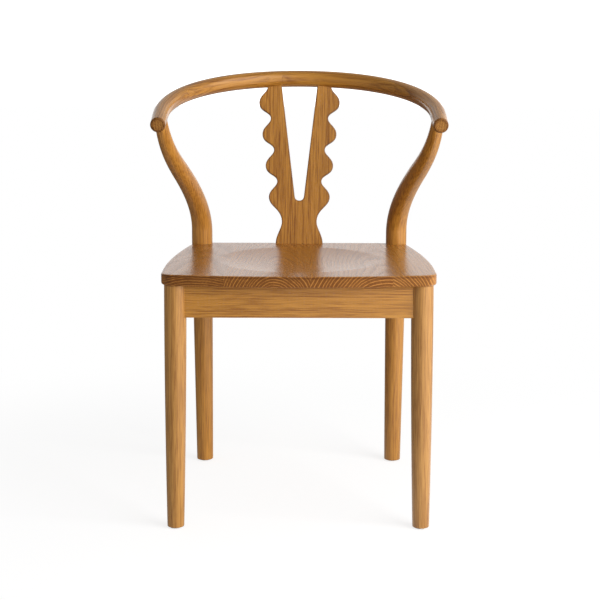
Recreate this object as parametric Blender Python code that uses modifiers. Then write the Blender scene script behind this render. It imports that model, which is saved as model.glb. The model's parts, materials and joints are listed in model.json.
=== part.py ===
"""Dining armchair of solid wood.

A bent U-shaped arm rail sits on two rear legs that sweep forward above the seat, and on a pierced
splat with scalloped edges. The seat is glued up from four boards with a shallow dish, and stands on
an apron frame with corner blocks. The chair faces -Y, its floor is z = 0 and its middle is x = 0.
"""

import math

import bmesh
import bpy
from mathutils import Matrix, Vector
from mathutils.geometry import interpolate_bezier

# Fits between wooden pieces
GAP = 0.0003
TENON_END_GAP = 0.0008

# Floor glides
GLIDE_HEIGHT = 0.0020
GLIDE_RADIUS = 0.0105
GLIDE_EDGE = 0.0006
GLIDE_STEM_RADIUS = 0.0022
GLIDE_STEM_LENGTH = 0.012

# Seat: a panel of four boards glued edge to edge, dished on top
SEAT_HEIGHT = 0.4520
SEAT_THICKNESS = 0.0195
SEAT_SIDE_OVERHANG = 0.0052
SEAT_SWELL = 0.0022
SEAT_FRONT_OVERHANG = 0.0068
SEAT_FRONT_BOW = 0.0170
SEAT_FRONT_CORNER = 0.0220
SEAT_REAR_CORNER = 0.0300
SEAT_BACK_REACH = 0.0130
SEAT_BACK_HANDLE = 0.0200
SEAT_CORNER_SET = 0.15
SEAT_CORNER_RATIO = 1.25
SEAT_CORNER_DRIFT = 0.0006
SEAT_WIDEST_SHARE = 0.25
SEAT_SWELL_HANDLE = 0.45
SEAT_SIDE_HANDLE_FRONT = 0.36
SEAT_SIDE_HANDLE_REAR = 0.30
SEAT_SIDE_TURN = 1.75
SEAT_TOP_ROUND = 0.0020
SEAT_BOTTOM_ROUND = 0.0040
SEAT_SEAMS = (-0.127, 0.019, 0.159)
DISH_HALF_WIDTH = 0.1490
DISH_HALF_LENGTH = 0.1800
DISH_CENTRE_Y = -0.0410
DISH_DEPTH = 0.0070

# Front legs: turned, tapering towards the foot, splayed a little to the sides
FRONT_LEG_X = 0.2117
FRONT_LEG_Y = -0.2310
FRONT_LEG_RADIUS = 0.0192
FRONT_LEG_FOOT_RADIUS = 0.0148
FRONT_LEG_SPLAY = math.radians(0.55)

# Rear legs: one piece from the floor to the arm rail
REAR_LEG_X = 0.1963
REAR_LEG_Y = 0.1975
REAR_LEG_RADIUS = 0.0207
REAR_LEG_FOOT_RADIUS = 0.0165
REAR_LEG_LEAN = 0.0020
POST_STRAIGHT = 0.0253
POST_LOWER_REACH = 0.0509
POST_MIDDLE_SHARE_OUT = 0.556
POST_MIDDLE_SHARE_UP = 0.558
POST_MIDDLE_SLANT = math.radians(61.2)
POST_MIDDLE_REACH_BACK = 0.0715
POST_MIDDLE_REACH_ON = 0.0590
POST_MIDDLE_RADIUS = 0.0172
POST_TOP_SLANT = math.radians(21.7)
POST_TOP_REACH = 0.0543
POST_TOP_RADIUS = 0.0112
POST_TENON_RADIUS = 0.0070
POST_TENON_PAST_CENTRE = 0.0030
POST_BEHIND_TIP = 0.0650
FOOT_CHAMFER = 0.0012

# Arm rail: a round rod bent to a U, in a plane that rises towards the back
RAIL_ABOVE_SEAT = 0.3294
RAIL_BACK_Y = 0.2577
RAIL_TILT = math.radians(12.57)
RAIL_HALF_WIDTH = 0.2529
RAIL_TIP_TOE_IN = 0.0022
RAIL_TIP_HALF_WIDTH = RAIL_HALF_WIDTH - RAIL_TIP_TOE_IN
RAIL_BEND_DEPTH = 0.2890
RAIL_DEPTH = 0.3791
RAIL_BACK_REACH = 0.1498
RAIL_SIDE_REACH = 0.1760
RAIL_BACK_RADIUS = 0.0163
RAIL_TIP_RADIUS = 0.01365
RAIL_TIP_ROUND = 0.0032

# Back splat: four pairs of lobes above a waist, with a V-shaped slot open at the top
SPLAT_THICKNESS = 0.0120
SPLAT_FOOT_Y = 0.2020
SPLAT_SET_FORWARD = 0.0045
SPLAT_FOOT_HALF_WIDTH = 0.0475
SPLAT_FOOT_REACH = 0.0165
SPLAT_WAIST_HEIGHT = 0.0430
SPLAT_WAIST_HALF_WIDTH = 0.0353
SPLAT_WAIST_REACH_DOWN = 0.0132
SPLAT_WAIST_REACH_UP = 0.0269
SPLAT_EDGE_ROUND = 0.0010
LOBE_COUNT = 4
LOBE_TOP_BELOW_HEAD = 0.0482
LOBE_LOWEST_ABOVE_WAIST = 0.0501
LOBE_TOP_HALF_WIDTH = 0.0814
LOBE_NARROWING = 0.0066
LOBE_DEPTH = 0.0201
SLOT_ABOVE_WAIST = 0.0432
SLOT_BOTTOM_RADIUS = 0.0094
SLOT_HEAD_HALF_WIDTH = 0.0376

# Handles of the splat's edge, as shares of the way from one lobe to the next
LOBE_HANDLE_DOWN = 0.3014
LOBE_HANDLE_UP = 0.2418
NOTCH_HANDLE_UP = 0.2276
NOTCH_HANDLE_DOWN = 0.1727

# Splat tenons
SPLAT_TENON_THICKNESS = 0.0070
SPLAT_FOOT_TENON_HALF_WIDTH = 0.0380
SPLAT_FOOT_TENON_DEPTH = 0.0120
PRONG_TENON_WIDTH = 0.0200
PRONG_TENON_PAST_CENTRE = 0.0020

# Apron frame
APRON_HEIGHT = 0.0560
APRON_THICKNESS = 0.0200
APRON_TENON_THICKNESS = 0.0080
APRON_TENON_SHOULDER = 0.0080
APRON_TENON_DEPTH = 0.0115
BLOCK_HEIGHT = 0.0400
BLOCK_LENGTH = 0.0560
BLOCK_LEG_GAP = 0.0030
BLOCK_END_LEAST = 0.0020

# Facets
RAIL_SIDES = 24
RAIL_BEND_POINTS = 25
RAIL_ARM_POINTS = 7
RAIL_TIP_ANGLES = (0, 30, 60, 85)
LEG_SIDES = 24
POST_POINTS = 12
FRONT_LEG_STEPS = 8
TENON_SIDES = 20
SPLAT_CURVE_STEPS = 8
SEAT_CURVE_STEPS = 10
DISH_SIDES = 48
DISH_STEPS = 6
GLIDE_SIDES = 24
GLIDE_BORE_SIDES = 16

# Length of the handles that make a quarter circle of radius 1
QUARTER_HANDLE = 0.5523

SEAT_UNDERSIDE = SEAT_HEIGHT - SEAT_THICKNESS
APRON_TOP = SEAT_UNDERSIDE - GAP
LEG_FOOT = GLIDE_HEIGHT + GAP
RAIL_BACK_HEIGHT = SEAT_HEIGHT + RAIL_ABOVE_SEAT
SIDES = (("left", -1), ("right", 1))
OAK = (0.485, 0.215, 0.060, 1.0)
NYLON = (0.80, 0.79, 0.76, 1.0)


def clear_scene():
    for item in list(bpy.data.objects):
        bpy.data.objects.remove(item, do_unlink=True)


def new_collection(name):
    group = bpy.data.collections.new(name)
    bpy.context.scene.collection.children.link(group)
    return group


def material(name, colour, roughness):
    mat = bpy.data.materials.new(name)
    mat.use_nodes = True
    shader = mat.node_tree.nodes["Principled BSDF"]
    shader.inputs["Base Color"].default_value = colour
    shader.inputs["Roughness"].default_value = roughness
    shader.inputs["Metallic"].default_value = 0.0
    return mat


def add_mesh(name, mesh, group):
    item = bpy.data.objects.new(name, mesh)
    group.objects.link(item)
    return item


def finish_piece(item, colour=OAK, roughness=0.42):
    item.data.materials.clear()
    item.data.materials.append(material(item.name, colour, roughness))
    item.data.shade_smooth()
    item.data.set_sharp_from_angle(angle=math.radians(35))


def mesh_from_curve(name, curve, group):
    """The curve as a welded mesh object, so that it can be cut and joined."""
    drawn = add_mesh(name + "_curve", curve, group)
    bpy.context.view_layer.update()
    depsgraph = bpy.context.evaluated_depsgraph_get()
    mesh = bpy.data.meshes.new_from_object(drawn.evaluated_get(depsgraph))
    work = bmesh.new()
    work.from_mesh(mesh)
    bmesh.ops.remove_doubles(work, verts=work.verts, dist=1e-5)
    work.to_mesh(mesh)
    work.free()
    item = add_mesh(name, mesh, group)
    item.matrix_world = drawn.matrix_world
    bpy.data.objects.remove(drawn, do_unlink=True)
    return item


def tube(name, points, radii, sides, group):
    """A round rod along points, with its own radius at each of them."""
    curve = bpy.data.curves.new(name, "CURVE")
    curve.dimensions = "3D"
    curve.bevel_depth = 1.0
    curve.bevel_resolution = (sides - 4) // 2
    curve.use_fill_caps = True
    spline = curve.splines.new("POLY")
    spline.points.add(len(points) - 1)
    for knot, point, radius in zip(spline.points, points, radii):
        knot.co = (*point, 1.0)
        knot.radius = radius
    return mesh_from_curve(name, curve, group)


def bezier_outline(curve, knots):
    """A closed spline through knots, each (point, handle before, handle after) in the plane."""
    spline = curve.splines.new("BEZIER")
    spline.bezier_points.add(len(knots) - 1)
    spline.use_cyclic_u = True
    for knot, (point, before, after) in zip(spline.bezier_points, knots):
        knot.handle_left_type = "FREE"
        knot.handle_right_type = "FREE"
        knot.co = (*point, 0.0)
        knot.handle_left = (*before, 0.0)
        knot.handle_right = (*after, 0.0)


def flat_curve(name, thickness, resolution):
    curve = bpy.data.curves.new(name, "CURVE")
    curve.dimensions = "2D"
    curve.fill_mode = "BOTH"
    curve.extrude = thickness / 2
    curve.resolution_u = resolution
    return curve


def polygon_outline(curve, points):
    spline = curve.splines.new("POLY")
    spline.points.add(len(points) - 1)
    spline.use_cyclic_u = True
    for knot, point in zip(spline.points, points):
        knot.co = (*point, 0.0, 1.0)


def round_rims(item, top_round, bottom_round):
    """Rounds the two rims of a flat piece that still lies in its own XY plane."""
    work = bmesh.new()
    work.from_mesh(item.data)
    bmesh.ops.dissolve_limit(work, angle_limit=math.radians(0.2), verts=work.verts, edges=work.edges)
    top = max(vert.co.z for vert in work.verts)
    bottom = min(vert.co.z for vert in work.verts)
    for height, width, segments in ((top, top_round, 2), (bottom, bottom_round, 3)):
        rim = [edge for edge in work.edges
               if all(abs(vert.co.z - height) < 1e-5 for vert in edge.verts)]
        bmesh.ops.bevel(work, geom=rim, offset=width, offset_type="OFFSET", segments=segments,
                        profile=0.5, affect="EDGES", clamp_overlap=False)
    work.to_mesh(item.data)
    work.free()


def box(name, size, group):
    """A box centred on its origin, its scale applied."""
    mesh = bpy.data.meshes.new(name)
    work = bmesh.new()
    bmesh.ops.create_cube(work, size=1.0, matrix=Matrix.Diagonal((*size, 1.0)))
    work.to_mesh(mesh)
    work.free()
    return add_mesh(name, mesh, group)


def cylinder_between(name, start, end, radius, sides, group):
    axis = end - start
    mesh = bpy.data.meshes.new(name)
    work = bmesh.new()
    bmesh.ops.create_cone(work, cap_ends=True, segments=sides, radius1=radius, radius2=radius,
                          depth=axis.length)
    work.to_mesh(mesh)
    work.free()
    item = add_mesh(name, mesh, group)
    item.matrix_world = (Matrix.Translation((start + end) / 2)
                         @ axis.to_track_quat("Z", "Y").to_matrix().to_4x4())
    return item


def turned(name, profile, sides, group):
    """A piece turned about its own Z axis from a profile of (radius, height), top to bottom."""
    mesh = bpy.data.meshes.new(name)
    count = len(profile)
    mesh.from_pydata([(radius, 0.0, height) for radius, height in profile],
                     [(k, k + 1) for k in range(count - 1)], [])
    item = add_mesh(name, mesh, group)
    screw = item.modifiers.new("turn", "SCREW")
    screw.steps = sides
    screw.render_steps = sides
    screw.use_merge_vertices = True
    screw.merge_threshold = 1e-5
    return item


def bake(item):
    """Turns the object's modifiers into plain mesh, so that it can be reused as a blank."""
    bpy.context.view_layer.update()
    depsgraph = bpy.context.evaluated_depsgraph_get()
    mesh = bpy.data.meshes.new_from_object(item.evaluated_get(depsgraph))
    item.modifiers.clear()
    item.data = mesh
    return item


def boolean(item, other, operation):
    step = item.modifiers.new(operation.lower() + "_" + other.name, "BOOLEAN")
    step.operation = operation
    step.solver = "EXACT"
    step.object = other


def cut(item, *others):
    for other in others:
        boolean(item, other, "DIFFERENCE")


def join(item, *others):
    for other in others:
        boolean(item, other, "UNION")


def as_cutter(item):
    item.hide_render = True
    item.display_type = "WIRE"
    return item


# Arm rail

def rail_plane(x, forward):
    """World place of a point of the rail's plane, given across and forward from the back centre."""
    return Vector((x, RAIL_BACK_Y - forward * math.cos(RAIL_TILT),
                   RAIL_BACK_HEIGHT - forward * math.sin(RAIL_TILT)))


def rail_half():
    """Points of the right half of the rail's centre line, from the back centre to the tip."""
    bend = [Vector(p) for p in ((0, 0, 0), (RAIL_BACK_REACH, 0, 0),
                                (RAIL_HALF_WIDTH, RAIL_BEND_DEPTH - RAIL_SIDE_REACH, 0),
                                (RAIL_HALF_WIDTH, RAIL_BEND_DEPTH, 0))]
    third = (RAIL_DEPTH - RAIL_BEND_DEPTH) / 3
    arm = [bend[3], bend[3] + Vector((0, third, 0)),
           Vector((RAIL_TIP_HALF_WIDTH, RAIL_DEPTH - third, 0)),
           Vector((RAIL_TIP_HALF_WIDTH, RAIL_DEPTH, 0))]
    flat = (interpolate_bezier(*bend, RAIL_BEND_POINTS)
            + interpolate_bezier(*arm, RAIL_ARM_POINTS)[1:])
    return [(point.x, point.y) for point in flat]


def rail_radius(forward):
    """The rod thins evenly from the back to the tips."""
    return RAIL_BACK_RADIUS + (RAIL_TIP_RADIUS - RAIL_BACK_RADIUS) * forward / RAIL_DEPTH


def rail_blank(name, extra, group):
    """The whole rail, thicker all round by extra."""
    half = rail_half()
    body, tip = half[:-1], half[-1]
    rounding = [math.radians(angle) for angle in RAIL_TIP_ANGLES]
    right = [(x, forward, rail_radius(forward)) for x, forward in body]
    for angle in rounding:
        drop = RAIL_TIP_ROUND * (1 - math.cos(angle))
        forward = tip[1] - RAIL_TIP_ROUND * (1 - math.sin(angle))
        right.append((tip[0], forward, RAIL_TIP_RADIUS - drop))
    left = [(-x, forward, radius) for x, forward, radius in reversed(right[1:])]
    path = left + right
    return tube(name, [rail_plane(x, forward) for x, forward, _ in path],
                [radius + extra for _, _, radius in path], RAIL_SIDES, group)


def rail_seat_for_post(side):
    """Where a rear leg's centre line meets that of the arm."""
    forward = RAIL_DEPTH - POST_BEHIND_TIP
    half = rail_half()
    for (x0, f0), (x1, f1) in zip(half, half[1:]):
        if f0 <= forward <= f1:
            x = x0 + (x1 - x0) * (forward - f0) / (f1 - f0)
            break
    return rail_plane(side * x, forward)


# Rear legs

def post_curve(side):
    """Bezier points of the swept part, and the direction in which it enters the rail."""
    start = Vector((side * REAR_LEG_X, REAR_LEG_Y, SEAT_HEIGHT + POST_STRAIGHT))
    goal = rail_seat_for_post(side)
    outward = Vector((goal.x - start.x, goal.y - start.y, 0))
    reach = outward.length
    outward.normalize()
    up = Vector((0, 0, 1))
    middle = (start + outward * reach * POST_MIDDLE_SHARE_OUT
              + up * (goal.z - start.z) * POST_MIDDLE_SHARE_UP)
    slant = outward * math.sin(POST_MIDDLE_SLANT) + up * math.cos(POST_MIDDLE_SLANT)
    entry = outward * math.sin(POST_TOP_SLANT) + up * math.cos(POST_TOP_SLANT)
    lower = (start, start + up * POST_LOWER_REACH, middle - slant * POST_MIDDLE_REACH_BACK, middle)
    upper = (middle, middle + slant * POST_MIDDLE_REACH_ON, goal - entry * POST_TOP_REACH, goal)
    return lower, upper, entry


def swept(points, count, radius_from, radius_to):
    path = interpolate_bezier(*points, count)
    return [(point, radius_from + (radius_to - radius_from) * k / (count - 1))
            for k, point in enumerate(path)]


def rear_leg_blank(name, side, extra, group):
    """A rear leg without its joints, thicker all round by extra."""
    lower, upper, _ = post_curve(side)
    foot_x = side * (REAR_LEG_X - REAR_LEG_LEAN)
    full_height = SEAT_UNDERSIDE - LEG_FOOT
    rise = Vector((side * REAR_LEG_LEAN, 0, full_height)) / full_height
    foot = Vector((foot_x, REAR_LEG_Y, LEG_FOOT))
    knee = foot + rise * full_height
    rings = [(foot, REAR_LEG_FOOT_RADIUS - FOOT_CHAMFER),
             (foot + rise * FOOT_CHAMFER, REAR_LEG_FOOT_RADIUS), (knee, REAR_LEG_RADIUS)]
    rings += swept(lower, POST_POINTS, REAR_LEG_RADIUS, POST_MIDDLE_RADIUS)
    rings += swept(upper, POST_POINTS, POST_MIDDLE_RADIUS, POST_TOP_RADIUS)[1:]
    return tube(name, [point for point, _ in rings], [radius + extra for _, radius in rings],
                LEG_SIDES, group)


# Front legs

def front_leg_blank(name, side, extra, group):
    """A turned front leg: its radius shrinks with the square of the way down."""
    length = SEAT_UNDERSIDE - GAP - LEG_FOOT
    profile = [(0.0, extra), (FRONT_LEG_RADIUS + extra, extra)]
    for k in range(1, FRONT_LEG_STEPS + 1):
        share = k / FRONT_LEG_STEPS
        radius = FRONT_LEG_RADIUS - (FRONT_LEG_RADIUS - FRONT_LEG_FOOT_RADIUS) * share ** 2
        depth = length - FOOT_CHAMFER if k == FRONT_LEG_STEPS else length * share
        profile.append((radius + extra, -depth))
    profile += [(FRONT_LEG_FOOT_RADIUS - FOOT_CHAMFER + extra, -length), (0.0, -length)]
    item = turned(name, profile, LEG_SIDES, group)
    item.location = (side * FRONT_LEG_X, FRONT_LEG_Y, SEAT_UNDERSIDE - GAP)
    item.rotation_euler = (0, -side * FRONT_LEG_SPLAY, 0)
    return item


def front_foot_x():
    return FRONT_LEG_X + (SEAT_UNDERSIDE - GLIDE_HEIGHT) * math.tan(FRONT_LEG_SPLAY)


# Apron frame

def bar_frame(start, end):
    """Turns a piece along +X at the origin so that it runs from start to end."""
    along = end - start
    return (Matrix.Translation((start + end) / 2)
            @ Matrix.Rotation(math.atan2(along.y, along.x), 4, "Z"))


def apron_bar(name, start, end, height, thickness, group):
    """A level bar of rectangular section from start to end."""
    item = box(name, ((end - start).length, thickness, height), group)
    item.matrix_world = bar_frame(start, end)
    return item


def leg_centres():
    height = APRON_TOP - APRON_HEIGHT / 2
    drop = SEAT_UNDERSIDE - height
    front_x = FRONT_LEG_X + drop * math.tan(FRONT_LEG_SPLAY)
    centres = {}
    for word, side in SIDES:
        centres["front_" + word] = Vector((side * front_x, FRONT_LEG_Y, height))
        centres["rear_" + word] = Vector((side * REAR_LEG_X, REAR_LEG_Y, height))
    return centres


def leg_radius(corner):
    return FRONT_LEG_RADIUS if corner.startswith("front") else REAR_LEG_RADIUS


def apron_runs():
    return (("front_apron", "front_left", "front_right"), ("rear_apron", "rear_left", "rear_right"),
            ("side_apron_left", "front_left", "rear_left"),
            ("side_apron_right", "front_right", "rear_right"))


def apron_tenon(name, run, extra, group):
    """The bar whose two ends are the apron's tenons; extra makes it the tool for the mortises."""
    _, first, second = run
    centres = leg_centres()
    start, end = centres[first], centres[second]
    along = (end - start).normalized()
    start = start + along * (leg_radius(first) - APRON_TENON_DEPTH - extra * 2)
    end = end - along * (leg_radius(second) - APRON_TENON_DEPTH - extra * 2)
    height = APRON_HEIGHT - 2 * APRON_TENON_SHOULDER + 2 * extra
    return apron_bar(name, start, end, height, APRON_TENON_THICKNESS + 2 * extra, group)


def make_aprons(parts, tools, envelopes):
    centres = leg_centres()
    for run in apron_runs():
        name, first, second = run
        item = apron_bar(name, centres[first], centres[second], APRON_HEIGHT, APRON_THICKNESS, parts)
        cut(item, envelopes[first], envelopes[second])
        join(item, as_cutter(apron_tenon(name + "_tenon", run, 0.0, tools)))
        finish_piece(item)


def make_corner_blocks(parts):
    """Blocks glued into the corners of the frame, cut off square to the diagonal by the leg."""
    centres = leg_centres()
    neighbours = {corner: [] for corner in centres}
    for _, first, second in apron_runs():
        neighbours[first].append((centres[second] - centres[first]).normalized())
        neighbours[second].append((centres[first] - centres[second]).normalized())
    inset = APRON_THICKNESS / 2 + GAP
    for corner, (one, two) in neighbours.items():
        spread = one.angle(two)
        inner = (one + two).normalized() * (inset / math.sin(spread / 2))
        clear = leg_radius(corner) + BLOCK_LEG_GAP
        near = max(BLOCK_END_LEAST, (clear - inner.length) / math.cos(spread / 2))
        far = near + BLOCK_LENGTH
        outline = [inner + one * near, inner + one * far, inner + two * far, inner + two * near]
        if one.cross(two).z < 0:
            outline.reverse()
        curve = flat_curve("corner_block_" + corner, BLOCK_HEIGHT, 1)
        polygon_outline(curve, [(point.x, point.y) for point in outline])
        item = mesh_from_curve("corner_block_" + corner, curve, parts)
        place = centres[corner]
        item.matrix_world = Matrix.Translation((place.x, place.y, APRON_TOP - BLOCK_HEIGHT / 2))
        finish_piece(item, roughness=0.6)


# Back splat

def splat_frame():
    """Local X runs across, local Y up along the splat, local Z towards the front."""
    foot = Vector((0, SPLAT_FOOT_Y, SEAT_HEIGHT))
    head = rail_plane(0, SPLAT_SET_FORWARD)
    up = (head - foot).normalized()
    across = Vector((1, 0, 0))
    front = across.cross(up)
    turn = Matrix((across, up, front)).transposed().to_4x4()
    return Matrix.Translation(foot) @ turn, (head - foot).length


def splat_edge():
    """Knots of the right edge as (half width, height, reach down, reach up), foot to head."""
    knots = [(SPLAT_FOOT_HALF_WIDTH, 0.0, 0.0, SPLAT_FOOT_REACH),
             (SPLAT_WAIST_HALF_WIDTH, SPLAT_WAIST_HEIGHT, SPLAT_WAIST_REACH_DOWN,
              SPLAT_WAIST_REACH_UP)]
    _, length = splat_frame()
    lowest = SPLAT_WAIST_HEIGHT + LOBE_LOWEST_ABOVE_WAIST
    pitch = (length - LOBE_TOP_BELOW_HEAD - lowest) / (LOBE_COUNT - 1)
    for k in range(LOBE_COUNT):
        width = LOBE_TOP_HALF_WIDTH - (LOBE_COUNT - 1 - k) * LOBE_NARROWING
        height = lowest + k * pitch
        knots.append((width, height, pitch * LOBE_HANDLE_DOWN, pitch * LOBE_HANDLE_UP))
        knots.append((width + LOBE_NARROWING / 2 - LOBE_DEPTH, height + pitch / 2,
                      pitch * NOTCH_HANDLE_DOWN, pitch * NOTCH_HANDLE_UP))
    return knots


def splat_blank(parts):
    """The splat's outline with its slot, from just below the seat's top to inside the rail."""
    _, length = splat_frame()
    edge = splat_edge()
    top = max(length, edge[-1][1])
    slot_top = SLOT_HEAD_HALF_WIDTH
    slot_bottom = SPLAT_WAIST_HEIGHT + SLOT_ABOVE_WAIST
    centre = slot_bottom + SLOT_BOTTOM_RADIUS
    rise = top - centre
    slant = (math.atan2(slot_top, rise)
             - math.asin(SLOT_BOTTOM_RADIUS / math.hypot(slot_top, rise)))
    slot_tangent = SLOT_BOTTOM_RADIUS * math.cos(slant)
    start_height = centre - SLOT_BOTTOM_RADIUS * math.sin(slant)
    curve = flat_curve("back_splat", SPLAT_THICKNESS, SPLAT_CURVE_STEPS)
    foot = -SPLAT_THICKNESS
    right = [((SPLAT_FOOT_HALF_WIDTH, foot), (SPLAT_FOOT_HALF_WIDTH, foot),
              (SPLAT_FOOT_HALF_WIDTH, foot / 2))]
    for width, height, below, above in edge:
        right.append(((width, height), (width, height - below), (width, height + above)))
    last_width = right[-1][0][0]
    right[-1] = (right[-1][0], right[-1][1], (last_width, top))
    right.append(((last_width, top), (last_width, top), (last_width, top)))
    slot = [((slot_top, top), (slot_top, top), (slot_top, top))]
    quarter = SLOT_BOTTOM_RADIUS * QUARTER_HANDLE
    slot.append(((slot_tangent, start_height), (slot_tangent, start_height),
                 (slot_tangent - quarter * math.sin(slant),
                  start_height - quarter * math.cos(slant))))
    half = right + slot
    mirrored = [tuple((-x, y) for x, y in (point, after, before))
                for point, before, after in reversed(half)]
    bottom = [((0.0, slot_bottom), (quarter, slot_bottom), (-quarter, slot_bottom))]
    bezier_outline(curve, half + bottom + mirrored)
    item = mesh_from_curve("back_splat", curve, parts)
    round_rims(item, SPLAT_EDGE_ROUND, SPLAT_EDGE_ROUND)
    return item, slot_top, last_width


def slab(name, low, high, thickness, frame, group):
    """A slab in the splat's plane between two corners (x, y)."""
    item = box(name, (high[0] - low[0], high[1] - low[1], thickness), group)
    middle = Vector(((low[0] + high[0]) / 2, (low[1] + high[1]) / 2, 0))
    item.matrix_world = frame @ Matrix.Translation(middle)
    return item


def splat_tenons(prefix, extra, slot_top, edge, group):
    """The foot tenon and the two prong tenons; extra makes them the tools for the mortises."""
    frame, length = splat_frame()
    thick = SPLAT_TENON_THICKNESS + 2 * extra
    end = TENON_END_GAP if extra else 0.0
    half = SPLAT_FOOT_TENON_HALF_WIDTH + extra
    inside = SPLAT_THICKNESS
    foot = slab(prefix + "_foot", (-half, -SPLAT_FOOT_TENON_DEPTH - end), (half, inside), thick,
                frame, group)
    middle = (slot_top + edge) / 2
    reach = PRONG_TENON_WIDTH / 2 + extra
    top = length + PRONG_TENON_PAST_CENTRE + end
    base = length - RAIL_BACK_RADIUS - inside
    prongs = [slab(f"{prefix}_{word}", (side * middle - reach, base), (side * middle + reach, top),
                   thick, frame, group) for word, side in SIDES]
    return foot, prongs


# Seat

def seat_outline():
    """Bezier knots of the seat's outline, round the right half and back up the left one."""
    front_x = FRONT_LEG_X + FRONT_LEG_RADIUS + SEAT_SIDE_OVERHANG
    front_y = FRONT_LEG_Y - FRONT_LEG_RADIUS - SEAT_FRONT_OVERHANG
    wide_x = front_x + SEAT_SWELL
    wide_y = FRONT_LEG_Y + (REAR_LEG_Y - FRONT_LEG_Y) * SEAT_WIDEST_SHARE
    rear_x = REAR_LEG_X + REAR_LEG_RADIUS
    back_y = REAR_LEG_Y + SEAT_BACK_REACH
    bow_y = front_y - SEAT_FRONT_BOW
    corner_x = front_x - SEAT_FRONT_CORNER
    corner_y = front_y + SEAT_FRONT_BOW * SEAT_CORNER_SET
    rear_turn_y = back_y - SEAT_REAR_CORNER
    taper = (wide_x - rear_x) / (rear_turn_y - wide_y)
    knots = [((0.0, bow_y), (-corner_x / 3, bow_y), (corner_x / 3, bow_y))]
    bow_slope = 2 * (corner_y - bow_y) / corner_x
    knots.append(((corner_x, corner_y),
                  (corner_x * 2 / 3, corner_y - bow_slope * corner_x / 3),
                  (corner_x + SEAT_FRONT_CORNER * QUARTER_HANDLE,
                   corner_y + bow_slope * SEAT_FRONT_CORNER * QUARTER_HANDLE)))
    side_y = corner_y + SEAT_FRONT_CORNER * SEAT_CORNER_RATIO
    knots.append(((front_x, side_y),
                  (front_x - SEAT_CORNER_DRIFT, side_y - SEAT_FRONT_CORNER * QUARTER_HANDLE),
                  (front_x + SEAT_SWELL * SEAT_SWELL_HANDLE, side_y + (wide_y - side_y) / 3)))
    knots.append(((wide_x, wide_y), (wide_x, wide_y - (wide_y - side_y) / 3),
                  (wide_x, wide_y + (rear_turn_y - wide_y) * SEAT_SIDE_HANDLE_FRONT)))
    slope = taper * SEAT_SIDE_TURN
    reach = (rear_turn_y - wide_y) * SEAT_SIDE_HANDLE_REAR
    knots.append(((rear_x, rear_turn_y), (rear_x + slope * reach, rear_turn_y - reach),
                  (rear_x - slope * SEAT_REAR_CORNER * QUARTER_HANDLE,
                   rear_turn_y + SEAT_REAR_CORNER * QUARTER_HANDLE)))
    knots.append(((rear_x - SEAT_REAR_CORNER, back_y),
                  (rear_x - SEAT_REAR_CORNER * (1 - QUARTER_HANDLE), back_y),
                  (rear_x - SEAT_REAR_CORNER - SEAT_BACK_HANDLE, back_y)))
    mirrored = [tuple((-x, y) for x, y in (point, after, before))
                for point, before, after in reversed(knots[1:])]
    return knots + mirrored


def seat_blank(tools):
    curve = flat_curve("seat_blank", SEAT_THICKNESS, SEAT_CURVE_STEPS)
    bezier_outline(curve, seat_outline())
    item = mesh_from_curve("seat_blank", curve, tools)
    round_rims(item, SEAT_TOP_ROUND, SEAT_BOTTOM_ROUND)
    item.matrix_world = Matrix.Translation((0, 0, SEAT_HEIGHT - SEAT_THICKNESS / 2))
    return as_cutter(item)


def dish_tool(tools):
    """A turned lens whose lower face is the dish, stretched to the dish's ellipse."""
    above = SEAT_THICKNESS / 2
    radius = (DISH_HALF_WIDTH ** 2 + DISH_DEPTH ** 2) / (2 * DISH_DEPTH)
    angle = math.asin(DISH_HALF_WIDTH / radius)
    profile = [(0.0, above), (DISH_HALF_WIDTH, above)]
    for k in reversed(range(DISH_STEPS + 1)):
        turn = angle * k / DISH_STEPS
        profile.append((radius * math.sin(turn), radius * (1 - math.cos(turn)) - DISH_DEPTH))
    item = bake(turned("dish_tool", profile, DISH_SIDES, tools))
    item.data.transform(Matrix.Diagonal((1, DISH_HALF_LENGTH / DISH_HALF_WIDTH, 1, 1)))
    item.location = (0, DISH_CENTRE_Y, SEAT_HEIGHT)
    return as_cutter(item)


def notch_tool(word, side, tools):
    """An upright round cutter that lets a rear leg pass through the seat."""
    foot = Vector((side * REAR_LEG_X, REAR_LEG_Y, SEAT_UNDERSIDE - SEAT_THICKNESS))
    head = Vector((side * REAR_LEG_X, REAR_LEG_Y, SEAT_HEIGHT + SEAT_THICKNESS))
    return as_cutter(cylinder_between("notch_" + word, foot, head, REAR_LEG_RADIUS + GAP,
                                      LEG_SIDES * 2, tools))


def make_seat(parts, tools, mortise):
    blank = seat_blank(tools)
    dish = dish_tool(tools)
    notches = [notch_tool(word, side, tools) for word, side in SIDES]
    half = SEAT_SIDE_OVERHANG + FRONT_LEG_X + FRONT_LEG_RADIUS + SEAT_SWELL + SEAT_THICKNESS
    edges = (-half, *SEAT_SEAMS, half)
    depth = 2 * (abs(FRONT_LEG_Y) + REAR_LEG_Y)
    for k, (low, high) in enumerate(zip(edges, edges[1:])):
        item = add_mesh(f"seat_board_{k + 1}", blank.data.copy(), parts)
        item.matrix_world = blank.matrix_world
        strip = as_cutter(box(f"strip_{k + 1}", (high - low - GAP, depth, 3 * SEAT_THICKNESS), tools))
        strip.location = ((low + high) / 2, 0, SEAT_HEIGHT)
        boolean(item, strip, "INTERSECT")
        cut(item, dish)
        if k == 0:
            cut(item, notches[0])
        if k == len(edges) - 2:
            cut(item, notches[1])
        if low < SPLAT_FOOT_TENON_HALF_WIDTH and high > -SPLAT_FOOT_TENON_HALF_WIDTH:
            cut(item, mortise)
        finish_piece(item, roughness=0.38)


# Glides

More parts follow.
